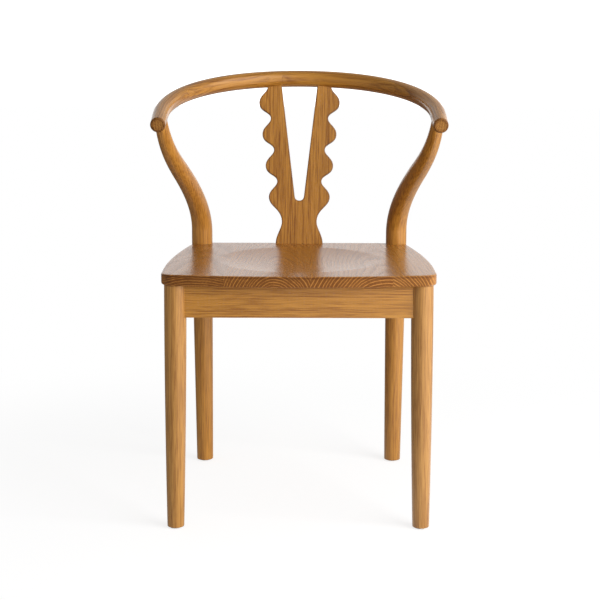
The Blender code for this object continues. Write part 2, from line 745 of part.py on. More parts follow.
def make_glides(parts):
    """Round plastic glides, each with a stem pressed into the foot of its leg."""
    rear_x = REAR_LEG_X - REAR_LEG_LEAN
    places = [(f"glide_{where}_{word}", side * x, y)
              for where, x, y in (("front", front_foot_x(), FRONT_LEG_Y), ("rear", rear_x, REAR_LEG_Y))
              for word, side in SIDES]
    profile = [(0.0, GLIDE_HEIGHT + GLIDE_STEM_LENGTH),
               (GLIDE_STEM_RADIUS, GLIDE_HEIGHT + GLIDE_STEM_LENGTH),
               (GLIDE_STEM_RADIUS, GLIDE_HEIGHT), (GLIDE_RADIUS, GLIDE_HEIGHT),
               (GLIDE_RADIUS, GLIDE_EDGE), (GLIDE_RADIUS - GLIDE_EDGE, 0.0), (0.0, 0.0)]
    for name, x, y in places:
        item = turned(name, profile, GLIDE_SIDES, parts)
        item.location = (x, y, 0)
        finish_piece(item, NYLON, 0.45)


def glide_bore(name, x, y, tools):
    top = Vector((x, y, GLIDE_HEIGHT + GLIDE_STEM_LENGTH + TENON_END_GAP))
    return as_cutter(cylinder_between(name, Vector((x, y, -GLIDE_HEIGHT)), top,
                                      GLIDE_STEM_RADIUS + GAP, GLIDE_BORE_SIDES, tools))


def main():
    clear_scene()
    parts = new_collection("dining_armchair")
    tools = new_collection("cutters")

    # Envelopes: each leg and the rail with the fit added, to cope what meets them
    rail_envelope = as_cutter(rail_blank("rail_envelope", GAP, tools))
    envelopes = {}
    for word, side in SIDES:
        envelopes["front_" + word] = as_cutter(front_leg_blank(f"front_{word}_envelope", side, GAP,
                                                               tools))
        envelopes["rear_" + word] = as_cutter(rear_leg_blank(f"rear_{word}_envelope", side, GAP,
                                                             tools))
    mortises = {run[0]: as_cutter(apron_tenon(run[0] + "_mortise", run, GAP, tools))
                for run in apron_runs()}

    rail = rail_blank("arm_rail", 0.0, parts)
    for word, side in SIDES:
        lower, upper, entry = post_curve(side)
        goal = upper[-1]
        leg = rear_leg_blank("rear_leg_" + word, side, 0.0, parts)
        base = goal - entry * (RAIL_BACK_RADIUS + POST_TENON_RADIUS * 2)
        tip = goal + entry * POST_TENON_PAST_CENTRE
        tenon = as_cutter(cylinder_between(f"post_tenon_{word}", base, tip, POST_TENON_RADIUS,
                                           TENON_SIDES, tools))
        bore = as_cutter(cylinder_between(f"post_bore_{word}", base, tip + entry * TENON_END_GAP,
                                          POST_TENON_RADIUS + GAP, TENON_SIDES, tools))
        cut(leg, rail_envelope)
        join(leg, tenon)
        cut(leg, mortises["rear_apron"], mortises["side_apron_" + word],
            glide_bore(f"glide_bore_rear_{word}", side * (REAR_LEG_X - REAR_LEG_LEAN), REAR_LEG_Y,
                       tools))
        finish_piece(leg)
        cut(rail, bore)

        front = front_leg_blank("front_leg_" + word, side, 0.0, parts)
        cut(front, mortises["front_apron"], mortises["side_apron_" + word],
            glide_bore(f"glide_bore_front_{word}", side * front_foot_x(), FRONT_LEG_Y, tools))
        finish_piece(front)

    splat, slot_top, edge = splat_blank(parts)
    frame, _ = splat_frame()
    splat.matrix_world = frame
    foot_tenon, prong_tenons = splat_tenons("splat_tenon", 0.0, slot_top, edge, tools)
    foot_mortise, prong_mortises = splat_tenons("splat_mortise", GAP, slot_top, edge, tools)
    below = 4 * SPLAT_THICKNESS
    seat_top = as_cutter(box("seat_top_plane", (4 * SPLAT_FOOT_HALF_WIDTH, below, below), tools))
    seat_top.location = (0, SPLAT_FOOT_Y, SEAT_HEIGHT + GAP - below / 2)
    cut(splat, rail_envelope, seat_top)
    join(splat, *[as_cutter(item) for item in (foot_tenon, *prong_tenons)])
    finish_piece(splat)
    cut(rail, *[as_cutter(item) for item in prong_mortises])
    finish_piece(rail)

    make_seat(parts, tools, as_cutter(foot_mortise))
    make_aprons(parts, tools, envelopes)
    make_corner_blocks(parts)
    make_glides(parts)


main()
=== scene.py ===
import json
import math

import bmesh
import bpy
import numpy as np
from mathutils import Matrix, Vector
from mathutils.geometry import interpolate_bezier

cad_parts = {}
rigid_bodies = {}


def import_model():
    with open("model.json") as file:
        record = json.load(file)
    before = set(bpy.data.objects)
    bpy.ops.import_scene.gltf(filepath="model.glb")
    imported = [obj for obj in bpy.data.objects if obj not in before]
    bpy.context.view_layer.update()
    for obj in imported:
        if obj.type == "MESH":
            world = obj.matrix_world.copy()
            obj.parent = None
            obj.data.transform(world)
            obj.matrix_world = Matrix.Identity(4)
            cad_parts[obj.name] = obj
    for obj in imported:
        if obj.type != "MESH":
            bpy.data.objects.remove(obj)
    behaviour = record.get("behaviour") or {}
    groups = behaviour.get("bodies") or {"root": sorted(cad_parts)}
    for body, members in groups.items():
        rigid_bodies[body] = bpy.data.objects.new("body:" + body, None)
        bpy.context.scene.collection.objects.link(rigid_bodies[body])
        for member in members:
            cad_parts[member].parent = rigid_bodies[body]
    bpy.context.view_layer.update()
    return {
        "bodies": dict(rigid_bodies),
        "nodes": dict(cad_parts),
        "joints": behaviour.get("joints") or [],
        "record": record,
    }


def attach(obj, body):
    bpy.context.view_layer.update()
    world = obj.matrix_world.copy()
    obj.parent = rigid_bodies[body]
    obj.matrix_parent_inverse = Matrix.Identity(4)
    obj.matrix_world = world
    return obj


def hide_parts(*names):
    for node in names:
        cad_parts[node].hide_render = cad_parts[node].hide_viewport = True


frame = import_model()

# Sizes in metres, the same as the solids have
GAP = 0.0003
GLIDE_HEIGHT = 0.0020
GLIDE_RADIUS = 0.0105
GLIDE_EDGE = 0.0006
SEAT_HEIGHT = 0.4520
SEAT_THICKNESS = 0.0195
SEAT_SIDE_OVERHANG = 0.0052
SEAT_SWELL = 0.0022
SEAT_FRONT_OVERHANG = 0.0068
SEAT_FRONT_BOW = 0.0170
SEAT_FRONT_CORNER = 0.0220
SEAT_REAR_CORNER = 0.0300
SEAT_BACK_REACH = 0.0130
SEAT_BACK_HANDLE = 0.0200
SEAT_CORNER_SET = 0.15
SEAT_CORNER_RATIO = 1.25
SEAT_CORNER_DRIFT = 0.0006
SEAT_WIDEST_SHARE = 0.25
SEAT_SWELL_HANDLE = 0.45
SEAT_SIDE_HANDLE_FRONT = 0.36
SEAT_SIDE_HANDLE_REAR = 0.30
SEAT_SIDE_TURN = 1.75
SEAT_TOP_ROUND = 0.0020
SEAT_ARRIS_WIDTH = 0.0035
SEAT_BOTTOM_ROUND = 0.0040
SEAT_SEAMS = (-0.127, 0.019, 0.159)
DISH_HALF_WIDTH = 0.1490
DISH_HALF_LENGTH = 0.1800
DISH_CENTRE_Y = -0.0410
DISH_DEPTH = 0.0070
FRONT_LEG_X = 0.2117
FRONT_LEG_Y = -0.2310
FRONT_LEG_RADIUS = 0.0192
FRONT_LEG_FOOT_RADIUS = 0.0148
FRONT_LEG_SPLAY = math.radians(0.55)
REAR_LEG_X = 0.1963
REAR_LEG_Y = 0.1975
REAR_LEG_RADIUS = 0.0207
REAR_LEG_FOOT_RADIUS = 0.0165
REAR_LEG_LEAN = 0.0020
POST_STRAIGHT = 0.0253
POST_LOWER_REACH = 0.0509
POST_MIDDLE_SHARE_OUT = 0.556
POST_MIDDLE_SHARE_UP = 0.558
POST_MIDDLE_SLANT = math.radians(61.2)
POST_MIDDLE_REACH_BACK = 0.0715
POST_MIDDLE_REACH_ON = 0.0590
POST_MIDDLE_RADIUS = 0.0172
POST_TOP_SLANT = math.radians(21.7)
POST_TOP_REACH = 0.0543
POST_TOP_RADIUS = 0.0112
POST_BEHIND_TIP = 0.0650
FOOT_CHAMFER = 0.0012
HIDDEN_END_ROUND = 0.0002
RAIL_ABOVE_SEAT = 0.3294
RAIL_BACK_Y = 0.2577
RAIL_TILT = math.radians(12.57)
RAIL_HALF_WIDTH = 0.2529
RAIL_TIP_TOE_IN = 0.0022
RAIL_TIP_HALF_WIDTH = RAIL_HALF_WIDTH - RAIL_TIP_TOE_IN
RAIL_BEND_DEPTH = 0.2890
RAIL_DEPTH = 0.3791
RAIL_BACK_REACH = 0.1498
RAIL_SIDE_REACH = 0.1760
RAIL_BACK_RADIUS = 0.0163
RAIL_TIP_RADIUS = 0.01365
RAIL_TIP_ROUND = 0.0032
SPLAT_THICKNESS = 0.0120
SPLAT_FOOT_Y = 0.2020
SPLAT_SET_FORWARD = 0.0045
SPLAT_FOOT_HALF_WIDTH = 0.0475
SPLAT_FOOT_REACH = 0.0165
SPLAT_WAIST_HEIGHT = 0.0430
SPLAT_WAIST_HALF_WIDTH = 0.0353
SPLAT_WAIST_REACH_DOWN = 0.0132
SPLAT_WAIST_REACH_UP = 0.0269
SPLAT_EDGE_ROUND = 0.0010
SPLAT_ARRIS_WIDTH = 0.0022
LOBE_COUNT = 4
LOBE_TOP_BELOW_HEAD = 0.0482
LOBE_LOWEST_ABOVE_WAIST = 0.0501
LOBE_TOP_HALF_WIDTH = 0.0814
LOBE_NARROWING = 0.0066
LOBE_DEPTH = 0.0201
SLOT_ABOVE_WAIST = 0.0432
SLOT_BOTTOM_RADIUS = 0.0094
SLOT_HEAD_HALF_WIDTH = 0.0376
LOBE_HANDLE_DOWN = 0.3014
LOBE_HANDLE_UP = 0.2418
NOTCH_HANDLE_UP = 0.2276
NOTCH_HANDLE_DOWN = 0.1727
APRON_HEIGHT = 0.0560
APRON_THICKNESS = 0.0200
APRON_EDGE = 0.0012
BLOCK_HEIGHT = 0.0400
BLOCK_LENGTH = 0.0560
BLOCK_LEG_GAP = 0.0030
BLOCK_END_LEAST = 0.0020
BLOCK_EDGE = 0.0010
BLOCK_GRAIN_STEP = 0.11
SCREW_HEAD_RADIUS = 0.0042
SCREW_HEAD_HEIGHT = 0.0022
SCREW_PROFILE = ((1.0, 0.0), (1.0, 0.22), (0.93, 0.50), (0.80, 0.74), (0.60, 0.91), (0.34, 1.0))
SCREW_SHARE = 0.28
SCREW_SPREAD = 1.2
SCREW_INSET = 0.016
RECESS_LENGTH = SCREW_HEAD_RADIUS * 1.16
RECESS_WIDTH = SCREW_HEAD_RADIUS * 0.28
RECESS_BOTTOM = SCREW_HEAD_HEIGHT * 0.5
NOTCH_BEYOND = 0.01
QUARTER_HANDLE = 0.5523

SEAT_UNDERSIDE = SEAT_HEIGHT - SEAT_THICKNESS
APRON_TOP = SEAT_UNDERSIDE - GAP
LEG_FOOT = GLIDE_HEIGHT + GAP
RAIL_BACK_HEIGHT = SEAT_HEIGHT + RAIL_ABOVE_SEAT
SIDES = (("left", -1), ("right", 1))
UP, ACROSS, BACKWARDS = Vector((0, 0, 1)), Vector((1, 0, 0)), Vector((0, 1, 0))

# How finely the pieces are divided
ROUND_SIDES = 72
SCREW_SIDES = 32
GLIDE_SIDES = 48
RAIL_POINTS = (150, 40)
POST_SEAT_POINTS = (90, 26)
POST_POINTS = 60
REAR_LEG_STEPS = 24
FRONT_LEG_STEPS = 40
STRAIGHT_STEP = 0.004
SPLAT_CURVE_POINTS = 22
SPLAT_FOOT_POINTS = 24
SEAT_OUTLINE_POINTS = (70, 18, 14, 60, 18, 70, 18, 60, 14, 18, 70)
DISH_STEPS = 30
BORDER_STEPS = 16
UNDERSIDE_STEPS = 8
POINTS_AT_ONCE = 2000


# Meshes

def placed(name, data):
    """A new object in the scene."""
    item = bpy.data.objects.new(name, data)
    bpy.context.scene.collection.objects.link(item)
    return item


def new_piece(name, verts, faces):
    mesh = bpy.data.meshes.new(name)
    mesh.from_pydata([tuple(v) for v in verts], [], faces)
    mesh.update()
    return placed(name, mesh)


def edit(item, work_on):
    """Opens the mesh for work_on and writes it back."""
    work = bmesh.new()
    work.from_mesh(item.data)
    work_on(work)
    work.to_mesh(item.data)
    work.free()
    item.data.update()


def carve(item, *tools):
    """Cuts the tools out of the piece."""
    for tool in tools:
        step = item.modifiers.new("carve", "BOOLEAN")
        step.operation = "DIFFERENCE"
        step.solver = "EXACT"
        step.object = tool
    bpy.context.view_layer.update()
    depsgraph = bpy.context.evaluated_depsgraph_get()
    mesh = bpy.data.meshes.new_from_object(item.evaluated_get(depsgraph))
    item.modifiers.clear()
    item.data = mesh


def drop(item):
    bpy.data.objects.remove(item, do_unlink=True)


def slice_off(item, point, normal):
    """Takes away what lies beyond a plane and closes the cut."""
    def cut(work):
        geometry = list(work.verts) + list(work.edges) + list(work.faces)
        made = bmesh.ops.bisect_plane(work, geom=geometry, plane_co=point, plane_no=normal,
                                      clear_outer=True, dist=1e-6)
        edges = [part for part in made["geom_cut"] if isinstance(part, bmesh.types.BMEdge)]
        for face in bmesh.ops.edgenet_fill(work, edges=edges)["faces"]:
            face.normal_update()
            if face.normal.dot(Vector(normal)) < 0:
                face.normal_flip()
    edit(item, cut)


def directions(points):
    """Unit tangents of a polyline."""
    last = len(points) - 1
    return [(points[min(k + 1, last)] - points[max(k - 1, 0)]).normalized()
            for k in range(last + 1)]


def frames_along(points, across):
    """(tangent, across, other) at each point, turning as little as it can."""
    made = []
    for tangent in directions(points):
        across = (across - tangent * across.dot(tangent)).normalized()
        made.append((tangent, across, tangent.cross(across)))
    return made


def quarter_turn(steps):
    """(1 - sine, 1 - cosine) on the way from no turn to a right angle."""
    turns = [math.pi / 2 * k / steps for k in range(steps + 1)]
    return [(1 - math.sin(turn), 1 - math.cos(turn)) for turn in turns]


def band_faces(rings, count, first=0, flipped=False):
    """Quads between closed rings of count points each, the first at vertex number first."""
    faces = []
    for low in range(first, first + (rings - 1) * count, count):
        for k in range(count):
            on = (k + 1) % count
            quad = (low + k, low + on, low + count + on, low + count + k)
            faces.append(quad[:1] + quad[:0:-1] if flipped else quad)
    return faces


def lofted(name, rings, sides=ROUND_SIDES):
    """A closed round solid through rings of (centre, across, other, radius)."""
    verts = [rings[0][0]]
    for centre, across, other, radius in rings:
        for k in range(sides):
            turn = 2 * math.pi * k / sides
            verts.append(centre + (across * math.cos(turn) + other * math.sin(turn)) * radius)
    verts.append(rings[-1][0])
    last = len(verts) - 1
    faces = [(0, 1 + (k + 1) % sides, 1 + k) for k in range(sides)]
    faces += band_faces(len(rings), sides, 1)
    faces += [(last - sides + k, last - sides + (k + 1) % sides, last) for k in range(sides)]
    return new_piece(name, verts, faces)


def end_rings(centre, tangent, across, other, radius, rounding, steps=6, flat_rings=4):
    """Rings that round the rim of a rod's end and close it, from the rod outwards."""
    rings = [(centre - tangent * rounding * back, across, other, radius - rounding * inset)
             for back, inset in quarter_turn(steps)[1:]]
    flat = radius - rounding
    rings += [(centre, across, other, flat * (1 - k / flat_rings)) for k in range(1, flat_rings)]
    return rings


def rod(name, points, radii, across, start_round, end_round):
    """A round rod along points with rounded rims."""
    frames = frames_along(points, across)
    body = [(point, a, b, radius)
            for point, radius, (_, a, b) in zip(points, radii, frames)]
    t0, a0, b0 = frames[0]
    t1, a1, b1 = frames[-1]
    head = end_rings(points[0], -t0, a0, b0, radii[0], start_round)
    tail = end_rings(points[-1], t1, a1, b1, radii[-1], end_round)
    inner = [ring for ring in body
             if (ring[0] - points[0]).dot(t0) > start_round
             and (points[-1] - ring[0]).dot(t1) > end_round]
    first = (points[0] + t0 * start_round, a0, b0, radii[0])
    last = (points[-1] - t1 * end_round, a1, b1, radii[-1])
    return lofted(name, head[::-1] + [first] + inner + [last] + tail)


def write_layer(item, name, kind, field, values):
    old = item.data.attributes.get(name)
    if old:
        item.data.attributes.remove(old)
    layer = item.data.attributes.new(name, kind, "POINT")
    layer.data.foreach_set(field, values.astype(np.float32).ravel())


def vertex_places(item):
    co = np.empty(len(item.data.vertices) * 3)
    item.data.vertices.foreach_get("co", co)
    return co.reshape(-1, 3)


def grain_along(co, points, across):
    """Place in wood whose fibre follows a path, and the way of the fibre there."""
    basis = np.array([[tuple(axis) for axis in frame] for frame in frames_along(points, across)])
    centres = np.array([tuple(point) for point in points])
    reached = np.append(0, np.cumsum(np.linalg.norm(np.diff(centres, axis=0), axis=1)))
    grain, fibre = np.zeros_like(co), np.zeros_like(co)
    for low in range(0, len(co), POINTS_AT_ONCE):
        some = slice(low, low + POINTS_AT_ONCE)
        near = np.linalg.norm(co[some, None] - centres, axis=2).argmin(1)
        grain[some] = np.einsum("nij,nj->ni", basis[near], co[some] - centres[near])
        grain[some, 0] += reached[near]
        fibre[some] = basis[near, 0]
    return grain, fibre


def write_grain(item, *blanks, path=None, across=None, follow=None):
    """Writes where each point lies in the wood: along the fibre, across it and in the third way.

    Each blank is (test, origin, along, across); the last one whose test a point passes holds it.
    With a path, the fibre follows it by the share that follow gives for the points.
    """
    co = vertex_places(item)
    grain, fibre = np.zeros_like(co), np.zeros_like(co)
    for test, origin, along, aside in blanks:
        basis = np.array([tuple(along), tuple(aside), tuple(along.cross(aside))])
        held = np.ones(len(co), bool) if test is None else test(co)
        grain[held] = (co[held] - np.array(tuple(origin))) @ basis.T
        fibre[held] = basis[0]
    if path:
        bent, turned = grain_along(co, path, across)
        share = follow(co)[:, None]
        grain += (bent - grain) * share
        fibre += (turned - fibre) * share
        fibre /= np.linalg.norm(fibre, axis=1)[:, None]
    write_layer(item, "grain", "FLOAT_VECTOR", "vector", grain)
    write_layer(item, "fibre", "FLOAT_VECTOR", "vector", fibre)


def write_painted_edge_shade(item, test):
    """Marks with 1 the points on the edges that get painted shade, a darker line along the edge."""
    write_layer(item, "painted_edge_shade", "FLOAT", "value", test(vertex_places(item)))


def finish_piece(item, material, slot, *nodes, angle=35):
    item.data.materials.clear()
    item.data.materials.append(material)
    item.data.shade_smooth()
    item.data.set_sharp_from_angle(angle=math.radians(angle))
    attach(item, "root")
    if nodes:
        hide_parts(*nodes)


# Oak

class Tree:
    """Short ways to add shader nodes to a material, a group or the world."""

    def __init__(self, tree):
        self.tree = tree

    def add(self, kind, inputs=(), **settings):
        """A new node, with its inputs given by name or number."""
        node = self.tree.nodes.new(kind)
        for key, value in settings.items():
            setattr(node, key, value)
        for key, value in dict(inputs).items():
            self.put(node.inputs[key], value)
        return node

    def put(self, socket, value):
        if isinstance(value, bpy.types.NodeSocket):
            self.tree.links.new(value, socket)
        else:
            socket.default_value = value

    def math(self, operation, *values):
        return self.add("ShaderNodeMath", enumerate(values), operation=operation).outputs[0]

    def lean(self, level, value, middle, amount):
        """The level, raised by amount for each unit that value lies above middle."""
        return self.math("MULTIPLY_ADD", self.math("SUBTRACT", value, middle), amount, level)

    def vector(self, operation, *values):
        places = (0, "Scale" if operation == "SCALE" else 1)
        node = self.add("ShaderNodeVectorMath", zip(places, values), operation=operation)
        return node.outputs["Value" if operation in ("LENGTH", "DOT_PRODUCT") else "Vector"]

    def parts(self, vector):
        return self.add("ShaderNodeSeparateXYZ", {0: vector}).outputs

    def noise(self, vector, seed, detail=2.0, colour=False, roughness=0.5):
        node = self.add("ShaderNodeTexNoise", {"Vector": vector, "W": seed, "Scale": 1.0,
                                               "Detail": detail, "Roughness": roughness},
                        noise_dimensions="4D")
        return node.outputs["Color" if colour else "Fac"]

    def ramp(self, value, *stops):
        node = self.add("ShaderNodeValToRGB", {"Fac": value})
        node.color_ramp.interpolation = "EASE"
        marks = node.color_ramp.elements
        while len(marks) < len(stops):
            marks.new(0.5)
        for mark, (place, level) in zip(marks, stops):
            mark.position = place
            mark.color = (level, level, level, 1.0)
        return node.outputs["Color"]

    def rise(self, value, start, end):
        """0 up to start and 1 from end on."""
        return self.ramp(value, (0.0, 0.0), (start, 0.0), (end, 1.0), (1.0, 1.0))

    def span(self, value, start, end, low, high, kind="SMOOTHSTEP"):
        """Goes from low to high while value goes from start to end."""
        node = self.add("ShaderNodeMapRange", {"Value": value, "From Min": start, "From Max": end,
                                               "To Min": low, "To Max": high},
                        interpolation_type=kind)
        return node.outputs[0]

    def limited(self, value):
        return self.add("ShaderNodeClamp", {"Value": value}).outputs[0]

    def mix(self, share, first, second, blend="MIX"):
        node = self.add("ShaderNodeMix", {0: share, 6: first, 7: second}, data_type="RGBA",
                        blend_type=blend)
        return node.outputs[2]

    def bump(self, height, strength, distance):
        return self.add("ShaderNodeBump", {"Height": height, "Strength": strength,
                                           "Distance": distance}).outputs[0]

    def glow(self, strength):
        return self.add("ShaderNodeEmission", {"Strength": strength}).outputs[0]

    def blend(self, share, first, second):
        return self.add("ShaderNodeMixShader", {0: share, 1: first, 2: second}).outputs[0]

    def seen(self):
        """1 for what the camera, gloss and glass look at, and the kinds of ray."""
        light = self.add("ShaderNodeLightPath").outputs
        level = light["Is Camera Ray"]
        for kind in ("Is Glossy Ray", "Is Transmission Ray"):
            level = self.math("MAXIMUM", level, light[kind])
        return level, light


def oak_group():
    """Solid oak in three dimensions: growth rings round a pith, pores, fibres and broad streaks, and
    painted shade on marked edges.
    """
    group = bpy.data.node_groups.new("oak_wood", "ShaderNodeTree")
    for name, value in (("Pale", (0.62, 0.34, 0.13, 1)), ("Dark", (0.33, 0.14, 0.035, 1)),
                        ("Seed", 0.0), ("Ring", 3.6), ("Pith Across", 20.0), ("Pith Other", 30.0),
                        ("Slope Across", 0.01), ("Slope Other", 0.01), ("Ring Contrast", 0.5),
                        ("Streaks", 0.5), ("Threads", 0.8), ("Flecks", 0.0), ("End Shade", 0.55),
                        ("End Rings", 0.35), ("Fineness", 1.0), ("Satin", 0.21)):
        kind = "NodeSocketFloat" if isinstance(value, float) else "NodeSocketColor"
        socket = group.interface.new_socket(name, in_out="INPUT", socket_type=kind)
        socket.default_value = value
    for name in ("Colour", "Roughness", "Height", "Shine"):
        kind = "NodeSocketColor" if name == "Colour" else "NodeSocketFloat"
        group.interface.new_socket(name, in_out="OUTPUT", socket_type=kind)
    n = Tree(group)
    given = n.add("NodeGroupInput").outputs
    seed = given["Seed"]
    place, fibre, painted_edge_shade = (n.add("ShaderNodeAttribute", attribute_name=name).outputs[output]
                           for name, output in (("grain", "Vector"), ("fibre", "Vector"),
                                                ("painted_edge_shade", "Fac")))
    normal = n.add("ShaderNodeNewGeometry").outputs["Normal"]
    mm = n.vector("SCALE", place, 1000.0)

    def figure(along, across, detail, source=mm, **more):
        """Noise with so many cells per millimetre along the fibre and across it."""
        return n.noise(n.vector("MULTIPLY", source, (along, across, across)), seed, detail, **more)

    # Rings that wander
    bent = mm
    for along, aside, detail, reach in ((0.006, 0.020, 1.0, 11), (0.03, 0.16, 2.0, 1.5)):
        shift = n.vector("SUBTRACT", figure(along, aside, detail, colour=True), (0.5, 0.5, 0.5))
        bent = n.vector("ADD", bent, n.vector("MULTIPLY", shift, (0, reach, reach)))
    parts = n.parts(bent)
    squares = []
    for number, word in ((1, "Across"), (2, "Other")):
        pith = n.math("MULTIPLY_ADD", parts[0], given["Slope " + word], given["Pith " + word])
        away = n.math("SUBTRACT", parts[number], pith)
        squares.append(n.math("MULTIPLY", away, away))
    radius = n.math("SQRT", n.math("ADD", *squares))
    uneven = n.add("ShaderNodeTexNoise", {"W": n.math("MULTIPLY_ADD", radius, 0.06, seed),
                                          "Detail": 1.0, "Scale": 1.0}, noise_dimensions="1D")
    # Rings are narrow near the pith and grow wider outwards
    grown = n.math("DIVIDE", n.math("POWER", n.math("DIVIDE", radius, 100.0), 0.7), given["Ring"])
    phase = n.math("MULTIPLY_ADD", grown, 100.0, n.math("MULTIPLY", uneven.outputs["Fac"], 0.8))
    turn = n.math("FRACT", phase)
    early = n.ramp(turn, (0.0, 0.60), (0.10, 1.0), (0.30, 0.55), (0.58, 0.08), (0.88, 0.0),
                   (1.0, 0.60))
    late = n.ramp(turn, (0.0, 0.0), (0.44, 0.0), (0.56, 1.0), (0.64, 1.0), (0.78, 0.0), (1.0, 0.0))
    own = n.add("ShaderNodeTexWhiteNoise", {"W": n.math("FLOOR", phase)}, noise_dimensions="1D")

    # Pores, fibres and streaks
    pore = n.math("MULTIPLY", n.rise(figure(0.16, 2.6, 0.0), 0.55, 0.68),
                  n.math("MULTIPLY_ADD", early, 0.8, 0.2))
    fine = figure(0.02, 0.85, 3.0, roughness=0.65)
    thread = figure(0.006, 0.32, 2.0, n.vector("SCALE", mm, given["Fineness"]), roughness=0.8)
    thread = n.rise(thread, 0.34, 0.66)
    fleck = n.rise(figure(0.03, 0.72, 0.0), 0.38, 0.62)
    streak = n.rise(figure(0.0035, 0.09, 2.0), 0.32, 0.68)
    cloud = figure(0.006, 0.02, 1.0)

    # Share of the dark colour
    share = 0.32
    for value, middle, amount in ((early, 0.4, given["Ring Contrast"]),
                                  (thread, 0.5, given["Threads"]), (fleck, 0.5, given["Flecks"]),
                                  (streak, 0.5, n.math("MULTIPLY", given["Streaks"], 0.6)),
                                  (own.outputs["Value"], 0.5, 0.16), (fine, 0.5, 0.40),
                                  (cloud, 0.5, 0.50), (pore, 0.0, 0.25)):
        share = n.lean(share, value, middle, amount)
    colour = n.mix(n.limited(share), given["Pale"], given["Dark"])

    # End grain drinks more of the finish: darker, with its rings standing out
    facing = n.math("ABSOLUTE", n.vector("DOT_PRODUCT", normal, fibre))
    ends = n.math("MULTIPLY", n.rise(facing, 0.45, 0.90), given["End Shade"])
    late = n.math("MULTIPLY", late, n.math("MULTIPLY_ADD", streak, 0.8, 0.5))
    dull = n.math("SUBTRACT", n.math("MULTIPLY_ADD", cloud, 0.5, 0.40),
                  n.math("MULTIPLY", n.math("SUBTRACT", late, 0.28), given["End Rings"]))
    for value, amount in ((thread, 0.25), (fleck, 0.30)):
        dull = n.lean(dull, value, 0.5, amount)
    pale = n.mix(1.0, given["Pale"], (1.06, 1.12, 1.60, 1), blend="MULTIPLY")
    dark = n.mix(1.0, given["Dark"], (0.72, 0.74, 1.00, 1), blend="MULTIPLY")
    colour = n.mix(ends, colour, n.mix(n.limited(dull), pale, dark))
    # Painted shade: the marked edges are darkened, drawing the dark line that shade lays along them
    edge_shaded = n.mix(1.0, colour, (0.58, 0.52, 0.48, 1), blend="MULTIPLY")

    roughness = given["Satin"]
    for value, amount in ((pore, 0.14), (fine, 0.08), (ends, 0.18)):
        roughness = n.math("MULTIPLY_ADD", value, amount, roughness)
    height = n.math("MULTIPLY_ADD", pore, -1.0, n.math("MULTIPLY", fine, 0.35))
    n.add("NodeGroupOutput", {"Colour": n.mix(painted_edge_shade, colour, edge_shaded), "Roughness": roughness,
                              "Height": height, "Shine": n.math("MULTIPLY_ADD", ends, -0.28, 0.5)})
    return group


def new_material(name):
    """A material, its nodes and the inputs of its shader."""
    made = bpy.data.materials.new(name)
    made.use_nodes = True
    return made, Tree(made.node_tree), made.node_tree.nodes["Principled BSDF"].inputs


def oak(name, relief=0.00006, **given):
    """A material with its own cut of the wood."""
    made, n, shader = new_material(name)
    wood = n.add("ShaderNodeGroup", node_tree=OAK_GROUP)
    for key, value in given.items():
        wood.inputs[key.replace("_", " ").title()].default_value = value
    for socket, output in (("Base Color", "Colour"), ("Roughness", "Roughness"),
                           ("Specular IOR Level", "Shine")):
        n.put(shader[socket], wood.outputs[output])
    n.put(shader["Normal"], n.bump(wood.outputs["Height"], 0.35, relief))
    shader["IOR"].default_value = 1.5
    return made


def fitting(name, metallic, colours, tint, wear, roughness, relief):
    """Plain stuff between two colours; tint and wear are (scale, seed, detail) of a noise."""
    made, n, shader = new_material(name)
    place = n.add("ShaderNodeTexCoord").outputs["Object"]
    tint, wear = (n.noise(n.vector("SCALE", place, scale), seed, detail)
                  for scale, seed, detail in (tint, wear))
    shader["Metallic"].default_value = metallic
    n.put(shader["Base Color"], n.mix(tint, *colours))
    n.put(shader["Roughness"], n.math("MULTIPLY_ADD", wear, *roughness))
    n.put(shader["Normal"], n.bump(wear, relief, 0.0001))
    return made


OAK_GROUP = oak_group()


# Arm rail

# Where lengths of wood meet, how they differ, and how far the fibre bends with the piece
RAIL_JOINTS_X = (-0.2180, -0.0340, 0.1850)
RAIL_JOINT_WIDTH = 0.00005
RAIL_GRAIN_LIFT = (0.000, 0.004, -0.003, 0.006)
RAIL_GRAIN_SHIFT = (0.0, 0.9, 1.8, 2.7)
RAIL_GRAIN_BENDS = np.array((0.85, 0.70, 0.80, 0.85))
REAR_LEG_GRAIN_BEND = 0.72


def rail_plane(x, forward):
    return Vector((x, RAIL_BACK_Y - forward * math.cos(RAIL_TILT),
                   RAIL_BACK_HEIGHT - forward * math.sin(RAIL_TILT)))


def rail_half(bend_points, arm_points):
    bend = [Vector(p) for p in ((0, 0, 0), (RAIL_BACK_REACH, 0, 0),
                                (RAIL_HALF_WIDTH, RAIL_BEND_DEPTH - RAIL_SIDE_REACH, 0),
                                (RAIL_HALF_WIDTH, RAIL_BEND_DEPTH, 0))]
    third = (RAIL_DEPTH - RAIL_BEND_DEPTH) / 3
    arm = [bend[3], bend[3] + Vector((0, third, 0)),
           Vector((RAIL_TIP_HALF_WIDTH, RAIL_DEPTH - third, 0)),
           Vector((RAIL_TIP_HALF_WIDTH, RAIL_DEPTH, 0))]
    flat = interpolate_bezier(*bend, bend_points) + interpolate_bezier(*arm, arm_points)[1:]
    return [(point.x, point.y) for point in flat]


def rail_radius(forward):
    return RAIL_BACK_RADIUS + (RAIL_TIP_RADIUS - RAIL_BACK_RADIUS) * forward / RAIL_DEPTH


